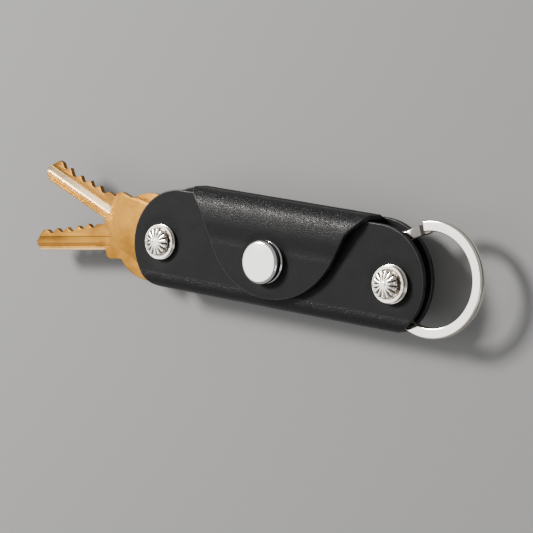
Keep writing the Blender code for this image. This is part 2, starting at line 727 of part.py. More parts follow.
# Snap -------------------------------------------------------------------------------------------
def make_snap(pivot, steel, brass):
    """Cap and socket on the flap, stud and eyelet on the front panel."""
    place = (SNAP_X, 0.0)
    side_top = CAP_Z + CAP_SIDE_HEIGHT
    shoulder_top = side_top + CAP_SHOULDER
    inner_radius = CAP_RADIUS - CAP_WALL
    ceiling = shoulder_top - CAP_WALL
    shoulder = []
    for step in range(5):
        turn = math.pi / 2 * step / 4
        radius = CAP_RADIUS - CAP_SHOULDER + CAP_SHOULDER * math.cos(turn)
        shoulder.append((radius, side_top + CAP_SHOULDER * math.sin(turn)))
    half_way = (CAP_RADIUS - CAP_SHOULDER) / 2
    cap_profile = [
        (0.0, ceiling),
        (inner_radius, ceiling),
        (inner_radius, CAP_Z),
        (CAP_RADIUS, CAP_Z),
        *shoulder,
        (half_way, shoulder_top + CAP_DOME_HEIGHT * 0.75),
        (0.0, CAP_TOP_Z),
    ]
    cap = lathe("snap_cap", cap_profile, steel, segments=40, place=place)
    socket_top = CAP_Z + CAP_SIDE_HEIGHT / 2
    socket_profile = [
        (SOCKET_BORE_RADIUS, SOCKET_Z),
        (SOCKET_RADIUS, SOCKET_Z),
        (SOCKET_RADIUS, socket_top),
        (SOCKET_BORE_RADIUS, socket_top),
    ]
    socket = lathe("snap_socket", socket_profile, brass, place=place)
    hang_on(cap, pivot)
    hang_on(socket, pivot)
    knob_low = STUD_Z + STUD_FLANGE_THICKNESS
    knob_top = knob_low + STUD_KNOB_HEIGHT
    stud_bore = EYELET_RADIUS + HOLE_CLEARANCE
    stud_profile = [
        (stud_bore, STUD_Z),
        (STUD_FLANGE_RADIUS, STUD_Z),
        (STUD_FLANGE_RADIUS, knob_low),
        (STUD_KNOB_RADIUS, knob_low),
        (STUD_KNOB_RADIUS, knob_top - STUD_KNOB_HEIGHT / 3),
        (STUD_KNOB_RADIUS - STUD_KNOB_HEIGHT / 4, knob_top),
        (stud_bore, knob_top),
    ]
    lathe("snap_stud", stud_profile, brass, place=place)
    flange_top = EYELET_FLANGE_Z + EYELET_FLANGE_THICKNESS
    eyelet_profile = [
        (0.0, EYELET_FLANGE_Z),
        (EYELET_FLANGE_RADIUS, EYELET_FLANGE_Z),
        (EYELET_FLANGE_RADIUS, flange_top),
        (EYELET_RADIUS, flange_top),
        (EYELET_RADIUS, knob_top - STUD_KNOB_HEIGHT / 4),
        (0.0, knob_top - STUD_KNOB_HEIGHT / 4),
    ]
    lathe("snap_eyelet", eyelet_profile, brass, place=place)


def clear_scene():
    """Empties the file of its objects."""
    for thing in list(bpy.data.objects):
        bpy.data.objects.remove(thing)


def main():
    clear_scene()
    leather = material("black_leather", (0.025, 0.025, 0.027), 0.6, 0.0)
    key_brass = material("key_brass", (0.60, 0.36, 0.12), 0.35, 1.0)
    nickel = material("bright_nickel", (0.80, 0.78, 0.75), 0.12, 1.0)
    snap_brass = material("plated_brass", (0.70, 0.66, 0.58), 0.25, 1.0)

    flap_hinge = add_pivot("flap_hinge", (0.0, HINGE_Y, HINGE_Z))
    key_pivot = add_pivot("key_pivot", (-POST_X, 0.0, LOWER_KEY_Z))
    ring_pivot = add_pivot("ring_pivot", (POST_X, 0.0, RING_Z))

    make_leather_body(leather)
    flap = make_leather_flap(leather)
    hang_on(flap, flap_hinge)
    make_snap(flap_hinge, nickel, snap_brass)

    upper_pointing = math.radians(159.4)
    lower_pointing = math.radians(188.4)
    make_key("upper_key", upper_key_shape(), upper_pointing, -1, UPPER_KEY_Z, key_pivot, key_brass)
    make_key("lower_key", lower_key_shape(), lower_pointing, -1, LOWER_KEY_Z, key_pivot, key_brass)

    make_post("left", -POST_X, LEFT_CUP_HEIGHT, LEFT_SCREW_RAISED, nickel)
    make_post("right", POST_X, RIGHT_CUP_HEIGHT, RIGHT_SCREW_RAISED, nickel)
    spacers = (
        ("key_washer", -POST_X, KEY_WASHER_Z, KEY_WASHER_THICKNESS),
        ("front_ring_spacer", POST_X, FRONT_RING_SPACER_Z, RING_SPACER_THICKNESS),
        ("rear_ring_spacer", POST_X, REAR_RING_SPACER_Z, RING_SPACER_THICKNESS),
    )
    for name, x, low, thickness in spacers:
        washer(name, (x, 0.0), POST_HOLE_RADIUS, SPACER_RADIUS, low, thickness, nickel)
    make_split_ring(ring_pivot, nickel)


main()
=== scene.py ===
# %% [markdown]
# # A leather key organiser, rebuilt piece by piece
# One strap of black leather is folded round two screw posts. Two brass keys turn on the left post,
# a split ring swings on the right one, and a flap closes over the front with a snap. This notebook
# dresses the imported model: it keeps its sizes and its moving bodies, and gives every piece its
# real surface. The first cell loads that model, which fixes where everything goes.

import json
import math

import bmesh
import bpy
import numpy as np
from mathutils import Matrix, Vector, noise

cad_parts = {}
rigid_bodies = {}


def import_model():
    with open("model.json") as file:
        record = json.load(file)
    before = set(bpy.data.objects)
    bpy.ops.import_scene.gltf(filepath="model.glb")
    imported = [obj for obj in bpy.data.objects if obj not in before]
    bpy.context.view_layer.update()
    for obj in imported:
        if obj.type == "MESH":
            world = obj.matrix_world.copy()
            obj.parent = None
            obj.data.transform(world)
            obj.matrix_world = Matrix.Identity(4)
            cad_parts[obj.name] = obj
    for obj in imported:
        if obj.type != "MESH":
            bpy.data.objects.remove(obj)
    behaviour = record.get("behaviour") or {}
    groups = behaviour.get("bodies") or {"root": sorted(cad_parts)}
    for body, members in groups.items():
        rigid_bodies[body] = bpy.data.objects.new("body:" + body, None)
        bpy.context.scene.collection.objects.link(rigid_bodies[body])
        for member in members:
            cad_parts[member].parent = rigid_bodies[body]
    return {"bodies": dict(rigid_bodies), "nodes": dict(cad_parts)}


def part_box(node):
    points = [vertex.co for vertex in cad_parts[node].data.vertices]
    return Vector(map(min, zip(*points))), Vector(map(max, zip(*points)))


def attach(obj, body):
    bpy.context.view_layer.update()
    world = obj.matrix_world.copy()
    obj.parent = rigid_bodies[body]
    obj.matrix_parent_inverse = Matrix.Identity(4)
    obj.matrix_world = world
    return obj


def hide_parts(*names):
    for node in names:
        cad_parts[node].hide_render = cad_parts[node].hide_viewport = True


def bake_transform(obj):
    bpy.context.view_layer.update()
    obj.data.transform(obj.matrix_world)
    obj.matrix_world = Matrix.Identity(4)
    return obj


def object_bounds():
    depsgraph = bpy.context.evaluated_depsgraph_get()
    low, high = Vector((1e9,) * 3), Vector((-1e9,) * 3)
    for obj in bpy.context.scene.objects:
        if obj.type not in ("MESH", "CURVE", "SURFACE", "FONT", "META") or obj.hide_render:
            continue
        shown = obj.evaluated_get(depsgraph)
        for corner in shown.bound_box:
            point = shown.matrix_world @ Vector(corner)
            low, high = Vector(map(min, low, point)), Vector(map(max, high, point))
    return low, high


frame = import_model()
cad_box = [list(corner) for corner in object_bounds()]
MM = 0.001
for body, pivot in frame["bodies"].items():
    print("body", body, [child.name for child in pivot.children])

# %% [markdown]
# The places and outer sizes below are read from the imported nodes, so a piece can't drift away from
# the frame. A box doesn't show the leather's thickness or the radius of the front panel's ends, so
# those two repeat the CAD part's values. The thickness, 1.8 mm, is a usual one for strap leather.

# %% Sizes that several pieces share
LEATHER = 1.8 * MM
case_low, case_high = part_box("leather_body")
CASE_DEPTH = case_high.z - case_low.z
LEFT_POST = (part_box("left_base_washer")[0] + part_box("left_base_washer")[1]) / 2
RIGHT_POST = (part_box("right_base_washer")[0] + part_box("right_base_washer")[1]) / 2
POSTS = (("left", LEFT_POST), ("right", RIGHT_POST))
SNAP_CENTRE = (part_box("snap_cap")[0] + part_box("snap_cap")[1]) / 2
FRONT_RADIUS = 17.6 * MM
BACK_RADIUS = case_high.y
FOLD_RADIUS = (CASE_DEPTH - LEATHER) / 2
FOLD_Y = case_low.y + CASE_DEPTH / 2
FRONT_HALF = case_high.x
print("case", [round(v / MM, 2) for v in (*case_low, *case_high)], "mm")
print("posts at", round(LEFT_POST.x / MM, 2), "and", round(RIGHT_POST.x / MM, 2), "mm")


# %% [markdown]
# ## Helpers for meshes
# Five helpers carry most of the work. One makes a mesh object from points and faces, one turns its
# faces outwards, one applies its modifiers, one cuts it with other solids, and one ties it to its
# body in the frame.

# %% Mesh helpers
# The six sides of a box whose corners are listed by x, then y, then z.
BOX_SIDES = [(0, 1, 3, 2), (4, 6, 7, 5), (0, 4, 5, 1), (2, 3, 7, 6), (0, 2, 6, 4), (1, 5, 7, 3)]


def mesh_piece(name, points, faces, finishes, smooth_under=40.0):
    """A mesh object at the origin, smooth except over sharp corners."""
    mesh = bpy.data.meshes.new(name)
    mesh.from_pydata([tuple(p) for p in points], [], faces)
    mesh.validate()
    for finish in finishes:
        mesh.materials.append(finish)
    mesh.shade_smooth()
    mesh.set_sharp_from_angle(angle=math.radians(smooth_under))
    piece = bpy.data.objects.new(name, mesh)
    bpy.context.scene.collection.objects.link(piece)
    return piece


def face_outwards(mesh, merge=0.0):
    """Merges doubled points if asked, then turns every face outwards."""
    shell = bmesh.new()
    shell.from_mesh(mesh)
    if merge:
        bmesh.ops.remove_doubles(shell, verts=shell.verts, dist=merge)
    bmesh.ops.recalc_face_normals(shell, faces=shell.faces)
    shell.to_mesh(mesh)
    shell.free()


def settle(piece, name):
    """The piece as its modifiers leave it, as a plain mesh object of that name."""
    graph = bpy.context.evaluated_depsgraph_get()
    graph.update()
    mesh = bpy.data.meshes.new_from_object(piece.evaluated_get(graph), depsgraph=graph)
    made = bpy.data.objects.new(name, mesh)
    bpy.context.scene.collection.objects.link(made)
    old = piece.data
    bpy.data.objects.remove(piece)
    if old.users == 0:
        bpy.data.meshes.remove(old)
    made.name = name
    mesh.name = name
    return made


def cut_with(piece, cutters, name):
    """The piece less its cutters, as a plain mesh object of that name. The cutters go."""
    for cutter in cutters:
        cut = piece.modifiers.new(cutter.name, "BOOLEAN")
        cut.operation = "DIFFERENCE"
        cut.object = cutter
    piece = settle(piece, name)
    for cutter in cutters:
        bpy.data.objects.remove(cutter)
    return piece


def fit_to(piece, body, slot, *nodes):
    """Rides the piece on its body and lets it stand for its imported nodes."""
    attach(piece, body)
    if nodes:
        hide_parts(*nodes)
    count = sum(len(p.vertices) - 2 for p in piece.data.polygons)
    print(f"{piece.name}: {count} triangles on {body}")
    return piece


# %% [markdown]
# ## Helpers for Geometry Nodes
# A Geometry Nodes tree is a recipe that can be rerun with other numbers. These helpers build a tree
# with named inputs, wire its nodes in short calls, and run it on a piece. Every tree ends by
# realising its instances and setting the material, so that it leaves one plain mesh.

# %% Geometry Nodes helpers
SOCKETS = {
    "float": "NodeSocketFloat",
    "int": "NodeSocketInt",
    "material": "NodeSocketMaterial",
    "geometry": "NodeSocketGeometry",
}


def new_tree(name, inputs):
    """An empty tree with a geometry input and output and the named inputs."""
    tree = bpy.data.node_groups.new(name, "GeometryNodeTree")
    tree.interface.new_socket("Geometry", in_out="INPUT", socket_type=SOCKETS["geometry"])
    for label, kind in inputs:
        tree.interface.new_socket(label, in_out="INPUT", socket_type=SOCKETS[kind])
    tree.interface.new_socket("Geometry", in_out="OUTPUT", socket_type=SOCKETS["geometry"])
    return tree, tree.nodes.new("NodeGroupInput"), tree.nodes.new("NodeGroupOutput")


def wire(tree, source, target):
    """Joins a socket, or sets it where the source is a plain value."""
    if isinstance(source, bpy.types.NodeSocket):
        tree.links.new(source, target)
    else:
        target.default_value = source


def maths(tree, operation, *values):
    """A math node of that operation on sockets or numbers."""
    node = tree.nodes.new("ShaderNodeMath")
    node.operation = operation
    for value, socket in zip(values, node.inputs):
        wire(tree, value, socket)
    return node.outputs[0]


def ease(tree, value, low, high, to_low, to_high):
    """A smooth step from to_low to to_high as value goes from low to high."""
    node = tree.nodes.new("ShaderNodeMapRange")
    node.interpolation_type = "SMOOTHSTEP"
    for number, socket in zip((value, low, high, to_low, to_high), node.inputs):
        wire(tree, number, socket)
    return node.outputs[0]


def vector_of(tree, x, y, z):
    """A vector from three sockets or numbers."""
    node = tree.nodes.new("ShaderNodeCombineXYZ")
    for value, socket in zip((x, y, z), node.inputs):
        wire(tree, value, socket)
    return node.outputs[0]


def position_of(tree):
    """The x, y and z sockets of each point's position."""
    position = tree.nodes.new("GeometryNodeInputPosition")
    parts = tree.nodes.new("ShaderNodeSeparateXYZ")
    tree.links.new(position.outputs[0], parts.inputs[0])
    return parts.outputs


def mark_painted_shade(tree, geometry, value):
    """Writes how much painted shade each point gets, which the nickel darkens by."""
    mark = tree.nodes.new("GeometryNodeStoreNamedAttribute")
    mark.data_type = "FLOAT"
    mark.domain = "POINT"
    mark.inputs["Name"].default_value = "painted_shade"
    tree.links.new(geometry, mark.inputs["Geometry"])
    tree.links.new(value, mark.inputs["Value"])
    return mark.outputs["Geometry"]


def finish_tree(tree, geometry, finish, group_out):
    """Shades smooth, realises the instances and sets the material."""
    smooth = tree.nodes.new("GeometryNodeSetShadeSmooth")
    real = tree.nodes.new("GeometryNodeRealizeInstances")
    coat = tree.nodes.new("GeometryNodeSetMaterial")
    tree.links.new(geometry, smooth.inputs["Geometry"])
    tree.links.new(smooth.outputs["Geometry"], real.inputs["Geometry"])
    tree.links.new(real.outputs["Geometry"], coat.inputs["Geometry"])
    tree.links.new(finish, coat.inputs["Material"])
    tree.links.new(coat.outputs["Geometry"], group_out.inputs["Geometry"])


def run_tree(piece, tree, values):
    """Runs the tree on the piece with those values by input name, and returns a plain mesh."""
    modifier = piece.modifiers.new(tree.name, "NODES")
    modifier.node_group = tree
    named = {
        item.name: item.identifier
        for item in tree.interface.items_tree
        if item.item_type == "SOCKET" and item.in_out == "INPUT"
    }
    for label, value in values.items():
        modifier[named[label]] = value
    return settle(piece, piece.name)


print("helpers ready")

# %% [markdown]
# ## Camera, light and floor
# The organiser lies on its back and is seen from the ring's side, from well above and far away with
# a long lens, so its long sides stay nearly parallel. The camera is turned about its own view
# until the case slopes gently down to the right.

# %% Camera
scene = bpy.context.scene
camera_data = bpy.data.cameras.new("studio_camera")
camera_data.sensor_width = 36.0
camera_data.lens = 185.5
camera_data.clip_start = 0.05
camera_data.clip_end = 20.0
camera = bpy.data.objects.new("studio_camera", camera_data)
scene.collection.objects.link(camera)
camera_right = Vector((0.798194, 0.098746, -0.594254))
camera_up = Vector((-0.148653, 0.988255, -0.035453))
camera_back = Vector((0.583774, 0.116636, 0.803496))
camera_place = Vector((0.5012, 0.0989, 0.7023))
axes = (camera_right, camera_up, camera_back, camera_place)
camera.matrix_world = Matrix([[axis[i] for axis in axes] for i in range(3)] + [[0, 0, 0, 1]])
scene.camera = camera
print("camera", [round(v, 3) for v in camera.location], "lens", camera_data.lens, "mm")


# %% [markdown]
# Polished nickel shows whatever stands round it, so the lights are wide soft panels: one high on
# the left that the flat metal faces look into, one behind the top edge that draws the highlight
# along the flap's bend, and a weak fill from the right.

# %% Lights, world and floor
def soft_panel(name, place, size, power, colour=(1.0, 1.0, 1.0)):
    """A square area light at place, aimed at the organiser."""
    data = bpy.data.lights.new(name, "AREA")
    data.shape = "SQUARE"
    data.size = size
    data.energy = power
    data.color = colour
    panel = bpy.data.objects.new(name, data)
    panel.location = place
    panel.rotation_mode = "QUATERNION"
    panel.rotation_quaternion = (-Vector(place)).to_track_quat("-Z", "Y")
    scene.collection.objects.link(panel)


soft_panel("panel_left", (-0.60, -0.12, 0.80), 0.85, 5.4, (1.0, 0.99, 0.975))
soft_panel("panel_top", (-0.58, 0.36, 0.73), 0.24, 19.0, (1.0, 0.98, 0.95))
soft_panel("panel_right", (0.80, -0.30, 0.50), 0.40, 1.2, (0.96, 0.98, 1.0))

world = bpy.data.worlds.new("studio")
world.use_nodes = True
sky = world.node_tree.nodes["Background"]
sky.inputs["Color"].default_value = (0.86, 0.85, 0.84, 1.0)
sky.inputs["Strength"].default_value = 0.42
scene.world = world

floor_finish = bpy.data.materials.new("floor_paper")
floor_finish.use_nodes = True
paper = floor_finish.node_tree.nodes["Principled BSDF"]
paper.inputs["Base Color"].default_value = (0.22, 0.22, 0.22, 1.0)
paper.inputs["Roughness"].default_value = 0.9
FLOOR_HALF = 4.0
FLOAT = 6.0 * MM  # the organiser is shown a little above the floor, so that its flap can open
floor_z = cad_box[0][2] - FLOAT
floor = mesh_piece(
    "floor",
    [(x, y, floor_z) for x, y in ((-1, -1), (1, -1), (1, 1), (-1, 1))],
    [(0, 1, 2, 3)],
    [floor_finish],
)
floor.data.transform(Matrix.Diagonal((FLOOR_HALF, FLOOR_HALF, 1.0, 1.0)))
print("floor at", round(floor_z / MM, 2), "mm")


# %% [markdown]
# ## Finishes
# A finish here is a small node tree on a Principled BSDF. Leather is dark all through, with a fine
# pebble of cells that opens where the strap is bent. That pattern has to bend with the leather, so
# it reads the strap's own flat coordinates, stored on the mesh as `flat_place`. A second attribute,
# `bend`, says how strongly the leather is stretched there.

# %% Shader helpers
def blank_finish(name, roughness, metallic):
    """A material with its shader node, roughness and metallic value set."""
    made = bpy.data.materials.new(name)
    made.use_nodes = True
    shader = made.node_tree.nodes["Principled BSDF"]
    shader.inputs["Roughness"].default_value = roughness
    shader.inputs["Metallic"].default_value = metallic
    return made, made.node_tree, shader


def attribute_of(tree, name):
    """The output sockets of a named attribute."""
    node = tree.nodes.new("ShaderNodeAttribute")
    node.attribute_name = name
    return node.outputs


def own_place(tree, scale=(1.0, 1.0, 1.0), turn=0.0):
    """Object coordinates, turned about Z and stretched."""
    coordinates = tree.nodes.new("ShaderNodeTexCoord")
    mapping = tree.nodes.new("ShaderNodeMapping")
    mapping.inputs["Rotation"].default_value[2] = turn
    mapping.inputs["Scale"].default_value = scale
    tree.links.new(coordinates.outputs["Object"], mapping.inputs["Vector"])
    return mapping.outputs["Vector"]


def noise_of(tree, place, scale, detail=3.0, rough=0.5):
    """Soft noise of so many features a metre."""
    node = tree.nodes.new("ShaderNodeTexNoise")
    node.inputs["Scale"].default_value = scale
    node.inputs["Detail"].default_value = detail
    node.inputs["Roughness"].default_value = rough
    tree.links.new(place, node.inputs["Vector"])
    return node.outputs["Fac"]


def cells_of(tree, place, scale):
    """Distance to the nearest crease between cells."""
    node = tree.nodes.new("ShaderNodeTexVoronoi")
    node.feature = "DISTANCE_TO_EDGE"
    node.inputs["Scale"].default_value = scale
    tree.links.new(place, node.inputs["Vector"])
    return node.outputs["Distance"]


def blend_colours(tree, share, first, second):
    """A colour between two by share."""
    node = tree.nodes.new("ShaderNodeMix")
    node.data_type = "RGBA"
    wire(tree, share, node.inputs[0])
    wire(tree, first, node.inputs[6])
    wire(tree, second, node.inputs[7])
    return node.outputs[2]


def bump_of(tree, height, strength, distance, under=None):
    """A bump from a height, over another bump if one is given."""
    node = tree.nodes.new("ShaderNodeBump")
    wire(tree, strength, node.inputs["Strength"])
    node.inputs["Distance"].default_value = distance
    tree.links.new(height, node.inputs["Height"])
    if under is not None:
        tree.links.new(under, node.inputs["Normal"])
    return node.outputs["Normal"]


def grey(value, tint=(1.0, 1.0, 1.0)):
    """A colour of that brightness with a slight tint."""
    return (value * tint[0], value * tint[1], value * tint[2], 1.0)


# %% Leather finishes
GRAIN_CELLS = 1900.0  # cells a metre, about half a millimetre each
COOL = (1.0, 1.0, 1.06)


def leather_finish(name, dark, pale):
    """Black leather: mottled colour, a fine pebble and tiny pores."""
    made, tree, shader = blank_finish(name, 0.55, 0.0)
    place = attribute_of(tree, "flat_place")["Vector"]
    bend = attribute_of(tree, "bend")["Fac"]
    mottle = noise_of(tree, place, 160.0, 4.0, 0.6)
    fine = noise_of(tree, place, 5200.0, 2.0, 0.6)
    crease = ease(tree, cells_of(tree, place, GRAIN_CELLS), 0.0, 0.22, 0.0, 1.0)
    base = blend_colours(tree, mottle, grey(dark, COOL), grey(pale, COOL))
    worn = maths(tree, "MULTIPLY", crease, maths(tree, "MULTIPLY", bend, 0.55))
    colour = blend_colours(tree, worn, base, grey(pale * 2.1, COOL))
    tree.links.new(colour, shader.inputs["Base Color"])
    rough = ease(tree, mottle, 0.3, 0.7, 0.62, 0.70)
    stretched = ease(tree, bend, 0.06, 0.34, 0.0, 0.27)
    shine = maths(tree, "MULTIPLY", stretched, ease(tree, crease, 0.0, 1.0, 1.0, 1.3))
    tree.links.new(maths(tree, "SUBTRACT", rough, shine), shader.inputs["Roughness"])
    grain_depth = maths(tree, "ADD", 0.28, maths(tree, "MULTIPLY", bend, 0.42))
    grain = bump_of(tree, crease, grain_depth, 0.00009)
    pores = bump_of(tree, fine, 0.22, 0.00004, grain)
    tree.links.new(pores, shader.inputs["Normal"])
    shader.inputs["Specular IOR Level"].default_value = 0.14
    return made


def cut_edge_finish(name):
    """The strap's cut edge: dyed fibres, matt and a little greyer."""
    made, tree, shader = blank_finish(name, 0.8, 0.0)
    place = attribute_of(tree, "flat_place")["Vector"]
    fibres = noise_of(tree, place, 1700.0, 5.0, 0.75)
    clumps = noise_of(tree, place, 420.0, 2.0, 0.5)
    share = maths(tree, "MULTIPLY", fibres, clumps)
    colour = blend_colours(tree, ease(tree, share, 0.14, 0.40, 0.0, 1.0), grey(0.006), grey(0.035))
    tree.links.new(colour, shader.inputs["Base Color"])
    tree.links.new(bump_of(tree, fibres, 0.9, 0.0002), shader.inputs["Normal"])
    shader.inputs["Specular IOR Level"].default_value = 0.3
    return made


def arris_finish(name):
    """The rounded corner of the cut, coloured paler than the grain as a painted highlight along the
    edge.
    """
    made, tree, shader = blank_finish(name, 0.38, 0.0)
    place = attribute_of(tree, "flat_place")["Vector"]
    arris_mottle = noise_of(tree, place, 700.0, 3.0, 0.6)
    # painted highlight: the rounded edge is coloured paler than the grain face, as where it catches
    # the light
    colour = blend_colours(tree, arris_mottle, grey(0.008, COOL), grey(0.030, COOL))
    tree.links.new(colour, shader.inputs["Base Color"])
    tree.links.new(ease(tree, arris_mottle, 0.3, 0.7, 0.55, 0.40), shader.inputs["Roughness"])
    shader.inputs["Specular IOR Level"].default_value = 0.4
    return made


black_leather = leather_finish("black_leather_grain", 0.0050, 0.0085)
leather_cut = cut_edge_finish("leather_cut_edge")
leather_arris = arris_finish("leather_arris")
LEATHER_FINISHES = [black_leather, leather_cut, leather_arris]
print("leather finishes", [finish.name for finish in LEATHER_FINISHES])


# %% [markdown]
# Metal gets its colour from the shader's base colour and its character from small roughness
# changes. Nickel is polished and barely scratched. Key brass is drawn along the blade, so its
# scratches are noise stretched along each key's own direction. The snap's inner pieces are a pale,
# duller plate.

# %% Metal finishes
def nickel_finish(name, colour, roughness, scratches):
    """Polished plate with faint wipe marks, and painted shade wherever the mesh carries it."""
    made, tree, shader = blank_finish(name, roughness, 1.0)
    clouds = noise_of(tree, own_place(tree), 260.0, 3.0, 0.55)
    wipes = noise_of(tree, own_place(tree, (1.0, 9.0, 1.0), 0.6), 900.0, 2.0, 0.6)
    tone = blend_colours(tree, clouds, grey(0.93, colour), grey(1.0, colour))
    # painted shade: the colour turns dark brown where the mesh asks for it, in the screws' valleys
    # and along the split ring's coil gap
    painted_shade = ease(tree, attribute_of(tree, "painted_shade")["Fac"], 0.15, 0.65, 0.0, 0.9)
    tone = blend_colours(tree, painted_shade, tone, (0.10, 0.085, 0.065, 1.0))
    tree.links.new(tone, shader.inputs["Base Color"])
    worn = maths(tree, "MULTIPLY", wipes, clouds)
    rough = ease(tree, worn, 0.1, 0.45, roughness * 0.8, roughness * 1.5)
    tree.links.new(rough, shader.inputs["Roughness"])
    tree.links.new(bump_of(tree, wipes, scratches, 0.00001), shader.inputs["Normal"])
    return made


def key_finish(name, turn, spine, shoulder, polished, ground, shine):
    """Brass drawn along a blade that points at turn.

    polished and ground are (from, to) above the spine: a milled band of paler brass with a painted
    highlight, and the side of the cuts, darkened by painted shade. Both are on the blade only. shine
    is how strongly the band's paler colour and painted highlight are laid on.
    """
    made, tree, shader = blank_finish(name, 0.33, 1.0)
    drawn = noise_of(tree, own_place(tree, (0.05, 1.0, 1.0), -turn), 5200.0, 3.0, 0.6)
    tarnish = noise_of(tree, own_place(tree), 95.0, 4.0, 0.6)
    specks = noise_of(tree, own_place(tree), 1500.0, 2.0, 0.7)
    split = tree.nodes.new("ShaderNodeSeparateXYZ")
    tree.links.new(own_place(tree, (1.0, 1.0, 1.0), -turn), split.inputs[0])
    post = Matrix.Rotation(-turn, 3, "Z") @ LEFT_POST
    along = maths(tree, "SUBTRACT", split.outputs[0], post.x)
    above = maths(tree, "SUBTRACT", post.y - spine, split.outputs[1])
    on_blade = ease(tree, along, shoulder - 0.6 * MM, shoulder + 0.8 * MM, 0.0, 1.0)

    def band(low, high):
        risen = ease(tree, above, low - 0.1 * MM, low + 0.1 * MM, 0.0, 1.0)
        fallen = ease(tree, above, high - 0.1 * MM, high + 0.1 * MM, 1.0, 0.0)
        return maths(tree, "MULTIPLY", on_blade, maths(tree, "MULTIPLY", risen, fallen))

    milled_band_highlight, painted_cut_shade = band(*polished), band(*ground)
    bright = (0.43, 0.205, 0.032, 1.0)
    dull = (0.27, 0.120, 0.017, 1.0)
    tone = blend_colours(tree, ease(tree, tarnish, 0.35, 0.68, 0.0, 1.0), bright, dull)
    # the milled band: paler brass, lightened further as a painted highlight
    tone = blend_colours(tree, maths(tree, "MULTIPLY", milled_band_highlight, shine), tone, (0.93, 0.72, 0.44, 1.0))
    # painted shade: the side of the cuts is darkened in the colour
    tone = blend_colours(tree, maths(tree, "MULTIPLY", painted_cut_shade, 0.85), tone, (0.20, 0.09, 0.02, 1.0))
    spotted = ease(tree, specks, 0.66, 0.78, 0.0, 0.5)
    tone = blend_colours(tree, spotted, tone, (0.20, 0.095, 0.02, 1.0))
    tree.links.new(tone, shader.inputs["Base Color"])
    rough = ease(tree, drawn, 0.3, 0.7, 0.27, 0.42)
    rough = maths(tree, "SUBTRACT", rough, maths(tree, "MULTIPLY", milled_band_highlight, 0.10))
    tree.links.new(rough, shader.inputs["Roughness"])
    tree.links.new(bump_of(tree, drawn, 0.30, 0.00002), shader.inputs["Normal"])
    return made


WARM_NICKEL = (0.95, 0.905, 0.83)
bright_nickel = nickel_finish("bright_nickel_plate", WARM_NICKEL, 0.13, 0.10)
cap_nickel = nickel_finish("snap_cap_polish", (0.90, 0.89, 0.88), 0.09, 0.04)
plated_brass = nickel_finish("pale_brass_plate", (0.78, 0.70, 0.54), 0.24, 0.12)
UPPER_POINTING = math.radians(159.4)
LOWER_POINTING = math.radians(188.4)
UPPER_SPINE, UPPER_SHOULDER = -5.65 * MM, 25.4 * MM
LOWER_SPINE, LOWER_SHOULDER = -2.8 * MM, 28.0 * MM
upper_brass = key_finish(
    "upper_key_brass",
    UPPER_POINTING,
    UPPER_SPINE,
    UPPER_SHOULDER,
    polished=(2.2 * MM, 4.7 * MM),
    ground=(4.9 * MM, 9.5 * MM),
    shine=0.85,
)
lower_brass = key_finish(
    "lower_key_brass",
    LOWER_POINTING,
    LOWER_SPINE,
    LOWER_SHOULDER,
    polished=(0.1 * MM, 0.8 * MM),
    ground=(1.7 * MM, 2.5 * MM),
    shine=0.30,
)
print("metal finishes ready")


# %% [markdown]
# ## The strap of leather
# On the real organiser one strap makes the front panel, the bottom fold, the back panel and the
# flap. A strap is easiest to draw flat, where it is only an outline, and then to fold: each flat
# point (x, s) goes to a place along a bent line, and the thickness stands square to that line. The
# cut edge is made last, round whatever outline is left, as a strip that rounds over both corners.
#
# The case and the flap are two meshes, because the flap opens. They meet on the back panel in a
# plain butt joint with no rounding, which disappears because both are flat there.

# %% Folding a flat strap
CELL = 0.9 * MM  # size of a mesh cell on the leather
CORNER = 0.32 * MM  # rounding of the cut edge's corners
CORNER_STEPS = 3
RIPPLE = 0.03 * MM  # the outer face is never quite even
RIPPLES = 90.0  # noise features a metre
FULL_BEND = 0.0045  # a bend of this radius in metres, or a tighter one, stretches the grain fully
GRAIN, CUT, ARRIS = 0, 1, 2  # places in LEATHER_FINISHES


class BentLine:
    """A line of (y, z) points down the middle of the leather, measured along its length."""

    def __init__(self, points):
        self.points = np.array(points, float)
        steps = np.diff(self.points, axis=0)
        lengths = np.hypot(steps[:, 0], steps[:, 1])
        self.along = np.concatenate([[0.0], np.cumsum(lengths)])
        tangents = np.gradient(self.points, self.along, axis=0)
        tangents /= np.hypot(tangents[:, 0], tangents[:, 1])[:, None]
        self.normals = np.stack([tangents[:, 1], -tangents[:, 0]], axis=1)
        turning = np.gradient(np.unwrap(np.arctan2(tangents[:, 1], tangents[:, 0])), self.along)
        self.curvature = np.abs(turning)

    def at(self, s):
        """Place, normal and curvature at a length along the line."""
        y = np.interp(s, self.along, self.points[:, 0])
        z = np.interp(s, self.along, self.points[:, 1])
        ny = np.interp(s, self.along, self.normals[:, 0])
        nz = np.interp(s, self.along, self.normals[:, 1])
        size = math.hypot(ny, nz)
        curved = np.interp(s, self.along, self.curvature)
        return y, z, ny / size, nz / size, curved


def boundary_loops(quads):
    """The open edges of a sheet of quads, as closed loops of point numbers, in order."""
    following = {}
    for quad in quads:
        for a, b in zip(quad, quad[1:] + quad[:1]):
            following.setdefault(a, set()).add(b)
    edges = {}
    for a, ends in following.items():
        for b in ends:
            if a not in following.get(b, ()):
                edges[a] = b
    loops = []
    while edges:
        first, after = next(iter(edges.items()))
        loop = [first]
        del edges[first]
        while after != first:
            loop.append(after)
            after = edges.pop(after)
        loops.append(loop)
    return loops


def edge_levels():
    """(how far out, height, finish) of the rings that make a cut edge, from top to bottom."""
    half = LEATHER / 2
    turns = [math.pi / 2 * step / CORNER_STEPS for step in range(1, CORNER_STEPS + 1)]
    levels = [(math.sin(turn), half - CORNER * (1 - math.cos(turn)), ARRIS) for turn in turns]
    levels += [(1.0, 0.0, CUT), (1.0, CORNER - half, CUT)]
    for turn in reversed(turns[:-1]):
        levels.append((math.sin(turn), -half + CORNER * (1 - math.cos(turn)), ARRIS))
    return levels


